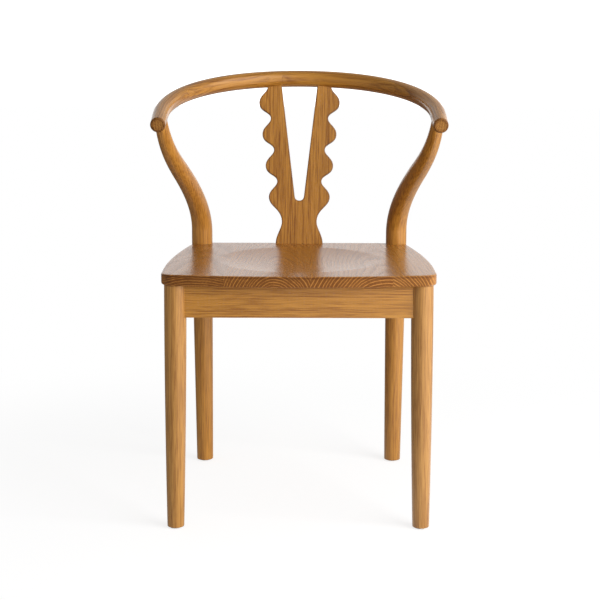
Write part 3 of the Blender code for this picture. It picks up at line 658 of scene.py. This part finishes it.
def make_rail():
    """The rail and the lengths of oak that it is jointed from."""
    half = rail_half(*RAIL_POINTS)
    path = [(-x, forward) for x, forward in reversed(half[1:])] + half
    joints = []
    for cut_x in RAIL_JOINTS_X:
        spot = next(k for k in range(1, len(path)) if path[k][0] > cut_x)
        (x0, f0), (x1, f1) = path[spot - 1], path[spot]
        near = [tuple(Vector((x0, f0)).lerp(Vector((x1, f1)), (cut_x - x0 + side) / (x1 - x0)))
                for side in (-RAIL_JOINT_WIDTH, RAIL_JOINT_WIDTH)]
        path[spot:spot] = near
        joints.append((cut_x, (f0 + f1) / 2))
    points = [rail_plane(x, forward) for x, forward in path]
    radii = [rail_radius(forward) for _, forward in path]
    back = (rail_plane(0, 0) - rail_plane(0, 1)).normalized()
    item = rod("arm_rail_wood", points, radii, back, RAIL_TIP_ROUND, RAIL_TIP_ROUND)

    normal = ACROSS.cross(back)
    stops = [path[0], *joints, path[-1]]
    blanks = []
    for k, (start, end) in enumerate(zip(stops, stops[1:])):
        slant = math.atan2(start[1] - end[1], end[0] - start[0])
        along = ACROSS * math.cos(slant) + back * math.sin(slant)
        middle = rail_plane((start[0] + end[0]) / 2, (start[1] + end[1]) / 2)
        origin = middle + along * RAIL_GRAIN_SHIFT[k] + normal * RAIL_GRAIN_LIFT[k]
        test = None if k == 0 else lambda co, least=start[0]: co[:, 0] > least
        blanks.append((test, origin, along, normal))
    write_grain(item, *blanks, path=points, across=normal,
                follow=lambda co: RAIL_GRAIN_BENDS[np.searchsorted(RAIL_JOINTS_X, co[:, 0])])

    # Painted shade: the rim round each tip's end face is marked to be darkened
    def at_tip_rim(co):
        away = co - np.array(tuple(rail_plane(0, 0)))
        forward = away @ np.array(tuple(-back))
        aside = np.hypot(np.abs(co[:, 0]) - RAIL_TIP_HALF_WIDTH, away @ np.array(tuple(normal)))
        return ((forward > RAIL_DEPTH - RAIL_TIP_ROUND * 1.1)
                & (aside > RAIL_TIP_RADIUS - RAIL_TIP_ROUND * 1.05))

    write_painted_edge_shade(item, at_tip_rim)
    return item


def rail_seat_for_post(side):
    forward = RAIL_DEPTH - POST_BEHIND_TIP
    half = rail_half(*POST_SEAT_POINTS)
    for (x0, f0), (x1, f1) in zip(half, half[1:]):
        if f0 <= forward <= f1:
            x = x0 + (x1 - x0) * (forward - f0) / (f1 - f0)
            break
    return rail_plane(side * x, forward)


# Legs

def post_curve(side):
    start = Vector((side * REAR_LEG_X, REAR_LEG_Y, SEAT_HEIGHT + POST_STRAIGHT))
    goal = rail_seat_for_post(side)
    outward = Vector((goal.x - start.x, goal.y - start.y, 0))
    reach = outward.length
    outward.normalize()
    middle = (start + outward * reach * POST_MIDDLE_SHARE_OUT
              + UP * (goal.z - start.z) * POST_MIDDLE_SHARE_UP)
    slant = outward * math.sin(POST_MIDDLE_SLANT) + UP * math.cos(POST_MIDDLE_SLANT)
    entry = outward * math.sin(POST_TOP_SLANT) + UP * math.cos(POST_TOP_SLANT)
    lower = (start, start + UP * POST_LOWER_REACH, middle - slant * POST_MIDDLE_REACH_BACK, middle)
    upper = (middle, middle + slant * POST_MIDDLE_REACH_ON, goal - entry * POST_TOP_REACH, goal)
    return lower, upper, outward


def swept(points, radius_from, radius_to):
    path = interpolate_bezier(*points, POST_POINTS)
    return [(point, radius_from + (radius_to - radius_from) * k / (POST_POINTS - 1))
            for k, point in enumerate(path)]


def rear_leg_rings(side):
    lower, upper, outward = post_curve(side)
    foot = Vector((side * (REAR_LEG_X - REAR_LEG_LEAN), REAR_LEG_Y, LEG_FOOT))
    knee = Vector((side * REAR_LEG_X, REAR_LEG_Y, SEAT_UNDERSIDE))
    taper = REAR_LEG_RADIUS - REAR_LEG_FOOT_RADIUS
    rings = [(foot.lerp(knee, k / REAR_LEG_STEPS),
              REAR_LEG_FOOT_RADIUS + taper * k / REAR_LEG_STEPS)
             for k in range(REAR_LEG_STEPS + 1)]
    rings += swept(lower, REAR_LEG_RADIUS, POST_MIDDLE_RADIUS)
    rings += swept(upper, POST_MIDDLE_RADIUS, POST_TOP_RADIUS)[1:]
    return [point for point, _ in rings], [radius for _, radius in rings], outward


def make_rear_leg(word, side, rail):
    """Sawn from a plank along its sweep, so that the rings come to light where it bends."""
    points, radii, outward = rear_leg_rings(side)
    item = rod(f"rear_leg_{word}_wood", points, radii, outward, FOOT_CHAMFER, HIDDEN_END_ROUND)
    carve(item, rail)
    write_grain(item, (None, points[0], UP, outward), path=points, across=outward,
                follow=lambda co: np.full(len(co), REAR_LEG_GRAIN_BEND))
    return item


def front_leg_axis(side):
    top = Vector((side * FRONT_LEG_X, FRONT_LEG_Y, SEAT_UNDERSIDE - GAP))
    down = Vector((side * math.sin(FRONT_LEG_SPLAY), 0, -math.cos(FRONT_LEG_SPLAY)))
    return top, down


def make_front_leg(word, side):
    top, down = front_leg_axis(side)
    length = APRON_TOP - LEG_FOOT
    points, radii = [], []
    for k in range(FRONT_LEG_STEPS + 1):
        share = k / FRONT_LEG_STEPS
        points.append(top + down * length * share)
        radii.append(FRONT_LEG_RADIUS - (FRONT_LEG_RADIUS - FRONT_LEG_FOOT_RADIUS) * share ** 2)
    item = rod(f"front_leg_{word}_wood", points, radii, ACROSS, HIDDEN_END_ROUND, FOOT_CHAMFER)
    write_grain(item, (None, top, -down, UP.cross(down).normalized()))
    return item


# Splat

def splat_frame():
    foot = Vector((0, SPLAT_FOOT_Y, SEAT_HEIGHT))
    head = rail_plane(0, SPLAT_SET_FORWARD)
    up = (head - foot).normalized()
    return foot, ACROSS, up, ACROSS.cross(up), (head - foot).length


def upright_knot(x, y, down=0.0, up=0.0):
    """A knot of an outline with its handles straight below and above it."""
    return (x, y), (x, y - down), (x, y + up)


def mirrored(knots):
    """The knots on the other side, in the order in which the outline comes to them."""
    return [tuple((-x, y) for x, y in (point, after, before))
            for point, before, after in reversed(knots)]


def traced(knots, counts):
    """Points of the outline through knots of (place, handle before, handle after)."""
    points = []
    for one, two, count in zip(knots, knots[1:], counts):
        curve = [Vector((*place, 0)) for place in (one[0], one[2], two[1], two[0])]
        if one[0] == one[2] and two[0] == two[1]:
            count = max(2, int((curve[3] - curve[0]).length / STRAIGHT_STEP))
            line = [curve[0].lerp(curve[3], k / count) for k in range(count)]
        else:
            line = interpolate_bezier(*curve, count)[:-1]
        points += [(point.x, point.y) for point in line]
    return points


def splat_outline(length):
    """Points of the outline, counter-clockwise, from the right foot up and round the slot."""
    foot = -SPLAT_THICKNESS
    knots = [upright_knot(SPLAT_FOOT_HALF_WIDTH, foot),
             upright_knot(SPLAT_FOOT_HALF_WIDTH, 0.0, 0.0, SPLAT_FOOT_REACH),
             upright_knot(SPLAT_WAIST_HALF_WIDTH, SPLAT_WAIST_HEIGHT,
                          SPLAT_WAIST_REACH_DOWN, SPLAT_WAIST_REACH_UP)]
    lowest = SPLAT_WAIST_HEIGHT + LOBE_LOWEST_ABOVE_WAIST
    pitch = (length - LOBE_TOP_BELOW_HEAD - lowest) / (LOBE_COUNT - 1)
    for k in range(LOBE_COUNT):
        width = LOBE_TOP_HALF_WIDTH - (LOBE_COUNT - 1 - k) * LOBE_NARROWING
        height = lowest + k * pitch
        knots.append(upright_knot(width, height, pitch * LOBE_HANDLE_DOWN, pitch * LOBE_HANDLE_UP))
        width += LOBE_NARROWING / 2 - LOBE_DEPTH
        height += pitch / 2
        knots.append(upright_knot(width, height, pitch * NOTCH_HANDLE_DOWN,
                                  pitch * NOTCH_HANDLE_UP))
    last, before, _ = knots[-1]
    knots[-1] = (last, before, last)
    top = max(length, last[1])
    knots += [upright_knot(last[0], top), upright_knot(SLOT_HEAD_HALF_WIDTH, top)]
    bottom = SPLAT_WAIST_HEIGHT + SLOT_ABOVE_WAIST
    centre = bottom + SLOT_BOTTOM_RADIUS
    rise = top - centre
    slant = (math.atan2(SLOT_HEAD_HALF_WIDTH, rise)
             - math.asin(SLOT_BOTTOM_RADIUS / math.hypot(SLOT_HEAD_HALF_WIDTH, rise)))
    tangent = (SLOT_BOTTOM_RADIUS * math.cos(slant), centre - SLOT_BOTTOM_RADIUS * math.sin(slant))
    quarter = SLOT_BOTTOM_RADIUS * QUARTER_HANDLE
    knots.append((tangent, tangent, (tangent[0] - quarter * math.sin(slant),
                                     tangent[1] - quarter * math.cos(slant))))
    knots.append(((0.0, bottom), (quarter, bottom), (-quarter, bottom)))
    knots += mirrored(knots[:-1])
    points = traced(knots, [SPLAT_CURVE_POINTS] * len(knots))
    return points + [(-SPLAT_FOOT_HALF_WIDTH * (1 - 2 * k / SPLAT_FOOT_POINTS), foot)
                     for k in range(SPLAT_FOOT_POINTS)]


def inward_normals(points):
    """Unit normals to the left of a counter-clockwise loop, which point into it."""
    count = len(points)
    made = []
    for k in range(count):
        (x0, y0), (x1, y1) = points[k - 1], points[(k + 1) % count]
        size = math.hypot(x1 - x0, y1 - y0)
        made.append((-(y1 - y0) / size, (x1 - x0) / size))
    return made


def make_splat():
    foot, across, up, front, length = splat_frame()
    points = splat_outline(length)
    normals = inward_normals(points)
    half = SPLAT_THICKNESS / 2
    # The layers set furthest in end the band of painted shade round the outline
    layers = [(SPLAT_EDGE_ROUND + SPLAT_ARRIS_WIDTH, -half)]
    layers += [(SPLAT_EDGE_ROUND * inset, SPLAT_EDGE_ROUND * rise - half)
               for inset, rise in quarter_turn(4)]
    layers += [(inset, -depth) for inset, depth in reversed(layers)]
    verts = []
    for inset, depth in layers:
        for (x, y), (nx, ny) in zip(points, normals):
            verts.append(foot + across * (x + nx * inset) + up * (y + ny * inset) + front * depth)
    count = len(points)
    faces = [tuple(reversed(range(count))), tuple(range(len(verts) - count, len(verts)))]
    item = new_piece("back_splat_wood", verts, faces + band_faces(len(layers), count))
    slice_off(item, (0, 0, SEAT_HEIGHT), (0, 0, -1))
    outline = np.array(points)

    # Painted shade: the points near the splat's outline are marked to be darkened
    def near_outline(co):
        away = co - np.array(tuple(foot))
        flat = np.stack((away @ np.array(tuple(across)), away @ np.array(tuple(up))), axis=1)
        gap = np.linalg.norm(flat[:, None, :] - outline[None, :, :], axis=2).min(axis=1)
        return gap < SPLAT_EDGE_ROUND + SPLAT_ARRIS_WIDTH * 0.7

    return item, (foot, up, across), near_outline


# Seat

def seat_outline():
    """Points of the outline, counter-clockwise from the middle of the front edge."""
    front_x = FRONT_LEG_X + FRONT_LEG_RADIUS + SEAT_SIDE_OVERHANG
    front_y = FRONT_LEG_Y - FRONT_LEG_RADIUS - SEAT_FRONT_OVERHANG
    wide_x = front_x + SEAT_SWELL
    wide_y = FRONT_LEG_Y + (REAR_LEG_Y - FRONT_LEG_Y) * SEAT_WIDEST_SHARE
    rear_x = REAR_LEG_X + REAR_LEG_RADIUS
    back_y = REAR_LEG_Y + SEAT_BACK_REACH
    bow_y = front_y - SEAT_FRONT_BOW
    corner_x = front_x - SEAT_FRONT_CORNER
    corner_y = front_y + SEAT_FRONT_BOW * SEAT_CORNER_SET
    side_y = corner_y + SEAT_FRONT_CORNER * SEAT_CORNER_RATIO
    rear_turn_y = back_y - SEAT_REAR_CORNER
    bow_slope = 2 * (corner_y - bow_y) / corner_x
    slope = (wide_x - rear_x) / (rear_turn_y - wide_y) * SEAT_SIDE_TURN
    reach = (rear_turn_y - wide_y) * SEAT_SIDE_HANDLE_REAR
    front_handle = SEAT_FRONT_CORNER * QUARTER_HANDLE
    rear_handle = SEAT_REAR_CORNER * QUARTER_HANDLE
    rear_corner_x = rear_x - SEAT_REAR_CORNER
    knots = [((0.0, bow_y), (-corner_x / 3, bow_y), (corner_x / 3, bow_y)),
             ((corner_x, corner_y),
              (corner_x * 2 / 3, corner_y - bow_slope * corner_x / 3),
              (corner_x + front_handle, corner_y + bow_slope * front_handle)),
             ((front_x, side_y),
              (front_x - SEAT_CORNER_DRIFT, side_y - front_handle),
              (front_x + SEAT_SWELL * SEAT_SWELL_HANDLE, side_y + (wide_y - side_y) / 3)),
             upright_knot(wide_x, wide_y, (wide_y - side_y) / 3,
                          (rear_turn_y - wide_y) * SEAT_SIDE_HANDLE_FRONT),
             ((rear_x, rear_turn_y), (rear_x + slope * reach, rear_turn_y - reach),
              (rear_x - slope * rear_handle, rear_turn_y + rear_handle)),
             ((rear_corner_x, back_y), (rear_corner_x + rear_handle, back_y),
              (rear_corner_x - SEAT_BACK_HANDLE, back_y))]
    knots += mirrored(knots[1:]) + knots[:1]
    return traced(knots, SEAT_OUTLINE_POINTS)


def seat_blank():
    """The whole seat as rings from the middle of the dish out, round the rim and back below."""
    outline = seat_outline()
    normals = inward_normals(outline)

    def inset_by(inset):
        return [(x + nx * inset, y + ny * inset) for (x, y), (nx, ny) in zip(outline, normals)]

    radius = (DISH_HALF_WIDTH ** 2 + DISH_DEPTH ** 2) / (2 * DISH_DEPTH)
    inner = inset_by(SEAT_TOP_ROUND)
    rim = []
    for x, y in inner:
        dy = y - DISH_CENTRE_Y
        size = math.hypot(x / DISH_HALF_WIDTH, dy / DISH_HALF_LENGTH)
        rim.append((x / size, DISH_CENTRE_Y + dy / size))
    loops = []
    for k in range(1, DISH_STEPS + 1):
        share = k / DISH_STEPS
        sag = radius - math.sqrt(radius ** 2 - (DISH_HALF_WIDTH * share) ** 2)
        height = SEAT_HEIGHT - DISH_DEPTH + sag
        loops.append([(x * share, DISH_CENTRE_Y + (y - DISH_CENTRE_Y) * share, height)
                      for x, y in rim])
    for k in range(1, BORDER_STEPS + 1):
        share = k / BORDER_STEPS
        loops.append([(x0 + (x1 - x0) * share, y0 + (y1 - y0) * share, SEAT_HEIGHT)
                      for (x0, y0), (x1, y1) in zip(rim, inner)])
    levels = [(SEAT_TOP_ROUND * inset, SEAT_HEIGHT - SEAT_TOP_ROUND * fall)
              for inset, fall in quarter_turn(5)[1:]]
    # This loop ends the band of painted shade below the top round
    levels.append((0.0, SEAT_HEIGHT - SEAT_TOP_ROUND - SEAT_ARRIS_WIDTH))
    levels += [(SEAT_BOTTOM_ROUND * inset, SEAT_UNDERSIDE + SEAT_BOTTOM_ROUND * rise)
               for rise, inset in quarter_turn(6)]
    loops += [[(x, y, height) for x, y in inset_by(inset)] for inset, height in levels]
    under = loops[-1]
    for k in range(1, UNDERSIDE_STEPS):
        share = 1 - k / UNDERSIDE_STEPS
        loops.append([(x * share, y * share, SEAT_UNDERSIDE) for x, y, _ in under])
    count = len(outline)
    verts = [(0, DISH_CENTRE_Y, SEAT_HEIGHT - DISH_DEPTH), *(spot for loop in loops for spot in loop),
             (0, 0, SEAT_UNDERSIDE)]
    last = len(verts) - 1
    faces = [(0, 1 + k, 1 + (k + 1) % count) for k in range(count)]
    faces += band_faces(len(loops), count, 1, flipped=True)
    faces += [(last - count + k, last, last - count + (k + 1) % count) for k in range(count)]
    return new_piece("seat_blank", verts, faces)


def upright_cylinder(name, x, y, low, high, radius):
    return lofted(name, [(Vector((x, y, z)), ACROSS, BACKWARDS, radius) for z in (low, high)])


# Painted shade: the band just below the seat's top round, outside the dish, is marked to be darkened
def below_top_round(co):
    in_dish = np.hypot(co[:, 0] / DISH_HALF_WIDTH,
                       (co[:, 1] - DISH_CENTRE_Y) / DISH_HALF_LENGTH) < 1
    return (np.abs(co[:, 2] - SEAT_HEIGHT + SEAT_TOP_ROUND) < SEAT_TOP_ROUND / 5) & ~in_dish


def make_seat(materials):
    blank = seat_blank()
    edges = (None, *SEAT_SEAMS, None)
    for k, (low, high) in enumerate(zip(edges, edges[1:])):
        item = new_piece(f"seat_board_{k + 1}_wood", [], [])
        item.data = blank.data.copy()
        if low is not None:
            slice_off(item, (low, 0, 0), (-1, 0, 0))
        if high is not None:
            slice_off(item, (high, 0, 0), (1, 0, 0))
        side = {0: -1, len(edges) - 2: 1}.get(k)
        if side:
            tool = upright_cylinder("notch", side * REAR_LEG_X, REAR_LEG_Y,
                                    SEAT_UNDERSIDE - NOTCH_BEYOND, SEAT_HEIGHT + NOTCH_BEYOND,
                                    REAR_LEG_RADIUS + GAP)
            carve(item, tool)
            drop(tool)
        origin = Vector((0, 0, SEAT_HEIGHT - SEAT_THICKNESS / 2))
        write_grain(item, (None, origin, BACKWARDS, ACROSS))
        write_painted_edge_shade(item, below_top_round)
        finish_piece(item, materials[k], "seat", f"seat_board_{k + 1}", angle=30)
    drop(blank)


# Apron frame

def leg_centres():
    height = APRON_TOP - APRON_HEIGHT / 2
    drop_to = SEAT_UNDERSIDE - height
    front_x = FRONT_LEG_X + drop_to * math.tan(FRONT_LEG_SPLAY)
    centres = {}
    for word, side in SIDES:
        centres["front_" + word] = Vector((side * front_x, FRONT_LEG_Y, height))
        centres["rear_" + word] = Vector((side * REAR_LEG_X, REAR_LEG_Y, height))
    return centres


APRON_RUNS = (("front_apron", "front_left", "front_right"),
              ("rear_apron", "rear_left", "rear_right"),
              ("side_apron_left", "front_left", "rear_left"),
              ("side_apron_right", "front_right", "rear_right"))


def bevelled(item, width):
    def soften(work):
        sharp = [edge for edge in work.edges if edge.calc_face_angle(0) > math.radians(30)]
        bmesh.ops.bevel(work, geom=sharp, offset=width, segments=3, profile=0.5, affect="EDGES")
    edit(item, soften)


def prism(name, outline, low, high):
    """An upright prism over a counter-clockwise outline."""
    count = len(outline)
    verts = [(p.x, p.y, height) for height in (low, high) for p in outline]
    faces = [tuple(reversed(range(count))), tuple(range(count, 2 * count))]
    return new_piece(name, verts, faces + band_faces(2, count))


def make_aprons(legs, materials):
    centres = leg_centres()
    for name, first, second in APRON_RUNS:
        start, end = centres[first], centres[second]
        along = (end - start).normalized()
        out = Vector((-along.y, along.x, 0)) * (APRON_THICKNESS / 2)
        outline = [start - out, end - out, end + out, start + out]
        item = prism(name + "_wood", outline, APRON_TOP - APRON_HEIGHT, APRON_TOP)
        bevelled(item, APRON_EDGE)
        carve(item, legs[first], legs[second])
        write_grain(item, (None, (start + end) / 2, along, UP.cross(along)))
        finish_piece(item, materials[name], "aprons", name, angle=30)


def make_corner_blocks(material):
    """The blocks; returns the place of each screw's head and the way that it faces."""
    centres = leg_centres()
    neighbours = {corner: [] for corner in centres}
    for _, first, second in APRON_RUNS:
        neighbours[first].append((centres[second] - centres[first]).normalized())
        neighbours[second].append((centres[first] - centres[second]).normalized())
    inset = APRON_THICKNESS / 2 + GAP
    heads = []
    for number, (corner, (one, two)) in enumerate(neighbours.items()):
        spread = one.angle(two)
        facing = (one + two).normalized()
        inner = facing * (inset / math.sin(spread / 2))
        radius = FRONT_LEG_RADIUS if corner.startswith("front") else REAR_LEG_RADIUS
        clear = radius + BLOCK_LEG_GAP
        near = max(BLOCK_END_LEAST, (clear - inner.length) / math.cos(spread / 2))
        far = near + BLOCK_LENGTH
        outline = [inner + one * near, inner + one * far, inner + two * far, inner + two * near]
        if one.cross(two).z < 0:
            outline.reverse()
        place = centres[corner]
        item = prism(f"corner_block_{corner}_wood", [point + place for point in outline],
                     APRON_TOP - BLOCK_HEIGHT, APRON_TOP)
        bevelled(item, BLOCK_EDGE)
        across = (two - one).normalized()
        write_grain(item, (None, place + UP * (number * BLOCK_GRAIN_STEP), across, UP))
        finish_piece(item, material, "corner_blocks", "corner_block_" + corner, angle=30)
        middle = place + inner + (one + two) * (far / 2)
        heads += [(middle + across * BLOCK_LENGTH * share * SCREW_SPREAD, facing)
                  for share in (-SCREW_SHARE, SCREW_SHARE)]
        heads.append((middle - facing * SCREW_INSET - UP * (place.z - APRON_TOP + BLOCK_HEIGHT),
                      -UP))
    return heads


def screw_head(centre, out):
    """A pan head with a cross recess, its underside at centre."""
    side = out.orthogonal().normalized()
    other = out.cross(side)
    rings = [(centre + out * SCREW_HEAD_HEIGHT * up, side, other, SCREW_HEAD_RADIUS * wide)
             for wide, up in SCREW_PROFILE]
    item = lofted("screw", rings, SCREW_SIDES)
    for one, two in ((side, other), (other, -side)):
        corners = [(a * RECESS_LENGTH / 2, b * RECESS_WIDTH / 2, height)
                   for height in (RECESS_BOTTOM, SCREW_HEAD_HEIGHT * 2)
                   for a, b in ((-1, -1), (1, -1), (1, 1), (-1, 1))]
        verts = [centre + one * a + two * b + out * c for a, b, c in corners]
        tool = new_piece("recess", verts, [(3, 2, 1, 0), (4, 5, 6, 7), *band_faces(2, 4)])
        carve(item, tool)
        drop(tool)
    return item


def make_screws(places, material):
    work = bmesh.new()
    for centre, out in places:
        head = screw_head(centre, out)
        work.from_mesh(head.data)
        drop(head)
    item = new_piece("block_screws", [], [])
    work.to_mesh(item.data)
    work.free()
    finish_piece(item, material, None)


def make_glides(material):
    places = []
    for word, side in SIDES:
        top, down = front_leg_axis(side)
        length = (SEAT_UNDERSIDE - GLIDE_HEIGHT) / math.cos(FRONT_LEG_SPLAY)
        places.append(("front_" + word, top + down * length))
    places += [("rear_" + word, Vector((side * (REAR_LEG_X - REAR_LEG_LEAN), REAR_LEG_Y, 0)))
               for word, side in SIDES]
    profile = [(GLIDE_RADIUS - GLIDE_EDGE, 0.0),
               (GLIDE_RADIUS - GLIDE_EDGE * 0.3, GLIDE_EDGE * 0.3),
               (GLIDE_RADIUS, GLIDE_EDGE), (GLIDE_RADIUS, GLIDE_HEIGHT)]
    for corner, place in places:
        rings = [(Vector((place.x, place.y, height)), ACROSS, BACKWARDS, radius)
                 for radius, height in profile]
        item = lofted(f"glide_{corner}_disc", rings, GLIDE_SIDES)
        finish_piece(item, material, "glides", "glide_" + corner)


PALE_OAK = (0.50, 0.225, 0.036)
DARK_OAK = (0.23, 0.080, 0.009)


def tone(pale=PALE_OAK, dark=DARK_OAK, shade=(1, 1, 1)):
    """The wood's two colours, each multiplied by shade."""
    return {key: (*(level * part for level, part in zip(colour, shade)), 1)
            for key, colour in (("pale", pale), ("dark", dark))}


def main():
    rail = make_rail()
    legs = {}
    for word, side in SIDES:
        legs["front_" + word] = make_front_leg(word, side)
        legs["rear_" + word] = make_rear_leg(word, side, rail)

    splat, (foot, up, across), near_outline = make_splat()
    carve(splat, rail)
    write_grain(splat, (None, foot, up, across))
    write_painted_edge_shade(splat, near_outline)
    finish_piece(splat, oak("oak_splat", seed=17.5, pith_across=-130.0, pith_other=60.0,
                            slope_across=0.02, ring=2.8, ring_contrast=0.22, streaks=0.30,
                            threads=0.75, flecks=0.55, **tone()),
                 "back_splat", "back_splat", angle=30)

    finish_piece(rail, oak("oak_rail", relief=0.00003, seed=1.0, pith_across=8.0, pith_other=62.0,
                           ring_contrast=0.45, streaks=0.60, satin=0.24, end_shade=1.0, **tone()),
                 "arm_rail", "arm_rail", angle=40)

    tones = {"front_left": tone((0.53, 0.260, 0.062), (0.26, 0.098, 0.016)),
             "front_right": tone((0.50, 0.250, 0.066), (0.24, 0.092, 0.017)),
             "rear_left": tone((0.57, 0.258, 0.045), (0.27, 0.096, 0.012)),
             "rear_right": tone()}
    for number, (corner, leg) in enumerate(legs.items()):
        end, word = corner.split("_")
        pith_across, end_shade = (70.0, 0.25) if end == "rear" else (-60.0, 0.90)
        finish_piece(leg, oak(f"oak_{corner}_leg", seed=10.0 + number * 3.7,
                              pith_across=pith_across, pith_other=-50.0, ring=3.2,
                              ring_contrast=0.22, streaks=0.15, threads=0.50, flecks=0.32,
                              fineness=1.2, satin=0.29, end_shade=end_shade, **tones[corner]),
                     "legs", f"{end}_leg_{word}", angle=40)

    boards = (((0.84, 0.74, 0.70), dict(seed=31.0, pith_across=-175.0, pith_other=240.0,
                                        slope_other=0.03, ring=2.2)),
              ((0.92, 0.82, 0.78), dict(seed=33.0, pith_across=-37.0, pith_other=50.0,
                                        slope_other=0.07, ring=4.0)),
              ((0.94, 0.84, 0.80), dict(seed=35.0, pith_across=150.0, pith_other=76.0,
                                        slope_other=0.04)),
              ((1.02, 0.96, 0.95), dict(seed=37.0, pith_across=137.0, pith_other=60.0,
                                        slope_other=0.04)))
    make_seat([oak(f"oak_seat_{k + 1}", relief=0.00002, ring_contrast=0.34, streaks=0.15,
                   threads=0.25, end_shade=1.0, end_rings=1.2, **cut, **tone(shade=shade))
               for k, (shade, cut) in enumerate(boards)])

    aprons = {run[0]: oak("oak_" + run[0], seed=50.0 + 2.3 * k, pith_across=30.0,
                          pith_other=-110.0, slope_other=0.006, ring=2.8, ring_contrast=0.22,
                          streaks=0.18, threads=0.70, flecks=0.42, fineness=1.35, end_shade=0.9,
                          **tone())
              for k, run in enumerate(APRON_RUNS)}
    make_aprons(legs, aprons)
    heads = make_corner_blocks(oak("oak_blocks", seed=70.0, ring=2.6, pith_across=30.0,
                                   pith_other=40.0, ring_contrast=0.4, streaks=0.3,
                                   **tone((0.66, 0.43, 0.20), (0.42, 0.23, 0.085))))
    make_screws(heads, fitting("yellow_zinc", 1.0, ((0.46, 0.42, 0.33, 1), (0.66, 0.62, 0.50, 1)),
                               tint=(400.0, 2.0, 3.0), wear=(400.0, 2.0, 3.0),
                               roughness=(0.25, 0.22), relief=0.15))
    make_glides(fitting("nylon", 0.0, ((0.6396, 0.6314, 0.5986, 1), (0.78, 0.77, 0.73, 1)),
                        tint=(120.0, 5.0, 2.0), wear=(900.0, 3.0, 3.0),
                        roughness=(0.30, 0.35), relief=0.20))


main()


# Floor, light and camera

FLOOR_REACH = 40.0
CAMERA_PLACE = (0.0020, -2.4957, 0.7760)
CAMERA_LENS = 80.25
CAMERA_PITCH = math.radians(9.28)
CAMERA_ROLL = math.radians(0.16)


def stage_material():
    """White where it is seen, and shaded where the chair keeps the light off."""
    made = bpy.data.materials.new("studio_floor")
    made.use_nodes = True
    made.node_tree.nodes.clear()
    n = Tree(made.node_tree)
    seen, light = n.seen()
    diffuse = n.add("ShaderNodeBsdfDiffuse", {"Color": (0.80, 0.80, 0.80, 1)}).outputs[0]
    lit = n.add("ShaderNodeAddShader", {0: diffuse, 1: n.glow(n.math("MULTIPLY", seen, 0.46))})
    # Away from the chair the floor melts into the backdrop
    spot = n.add("ShaderNodeNewGeometry").outputs["Position"]
    far = n.span(n.vector("LENGTH", spot), 0.35, 1.3, 0.60, 1.0)
    plain = n.blend(n.math("MULTIPLY", far, seen), lit.outputs[0], n.glow(1.0))
    # Gloss shows a floor that is lit from the front right
    x, y, _ = n.parts(spot)
    bright = n.math("MULTIPLY", n.span(x, -0.6, 0.8, 0.25, 1.9), n.span(y, -0.1, 0.6, 1.0, 0.4))
    shown = n.blend(light["Is Glossy Ray"], plain, n.glow(bright))
    n.add("ShaderNodeOutputMaterial", {"Surface": shown})
    return made


def make_stage():
    corners = [(-FLOOR_REACH, -FLOOR_REACH, 0), (FLOOR_REACH, -FLOOR_REACH, 0),
               (FLOOR_REACH, FLOOR_REACH, 0), (-FLOOR_REACH, FLOOR_REACH, 0)]
    floor = new_piece("studio_floor", corners, [(0, 1, 2, 3)])
    floor.data.materials.append(stage_material())
    world = bpy.data.worlds.new("studio")
    bpy.context.scene.world = world
    world.use_nodes = True
    world.node_tree.nodes.clear()
    n = Tree(world.node_tree)
    seen, light = n.seen()
    heading = n.add("ShaderNodeTexCoord").outputs["Generated"]
    x, y, z = n.parts(heading)
    # Gloss shows the white backdrop behind the chair and the dim room in front of it
    room = n.span(n.math("MULTIPLY_ADD", x, 0.40, y), 0.10, 0.65, 0.22, 1.0)
    room = n.math("MULTIPLY", room, n.span(z, 0.0, 0.45, 1.55, 0.50, "LINEAR"))
    # and a bright screen at the front right
    toward = n.span(n.vector("DOT_PRODUCT", heading, (0.73, -0.60, 0.33)), 0.62, 0.92, 0.0, 1.0)
    room = n.math("MULTIPLY_ADD", toward, n.span(z, 0.18, 0.45, 1.5, 4.0), room)
    shown = n.math("MAXIMUM", light["Is Camera Ray"], n.math("MULTIPLY", room, seen))
    unseen = n.math("SUBTRACT", 1.0, seen)
    ground = n.add("ShaderNodeBackground", {"Color": (1, 1, 1, 1),
                                            "Strength": n.math("MULTIPLY_ADD", unseen, 0.42, shown)})
    n.add("ShaderNodeOutputWorld", {"Surface": ground.outputs[0]})


def area_light(name, place, target, size, energy):
    lamp = bpy.data.lights.new(name, "AREA")
    lamp.shape = "RECTANGLE"
    lamp.size, lamp.size_y = size
    lamp.energy = energy
    item = placed(name, lamp)
    item.location = place
    item.rotation_euler = (Vector(target) - Vector(place)).to_track_quat("-Z", "Y").to_euler()
    # What gloss shows in its place is painted on the world
    item.visible_glossy = False


def make_camera():
    camera = bpy.data.cameras.new("camera")
    camera.sensor_width = 36.0
    camera.lens = CAMERA_LENS
    item = placed("camera", camera)
    item.matrix_world = (Matrix.Translation(CAMERA_PLACE)
                         @ Matrix.Rotation(math.pi / 2 - CAMERA_PITCH, 4, "X")
                         @ Matrix.Rotation(CAMERA_ROLL, 4, "Z"))
    bpy.context.scene.camera = item


make_stage()
area_light("key", place=(1.9, -1.5, 1.0), target=(0, 0, 0.50), size=(2.0, 1.9), energy=70.0)
make_camera()
bpy.context.scene.view_settings.view_transform = "Standard"
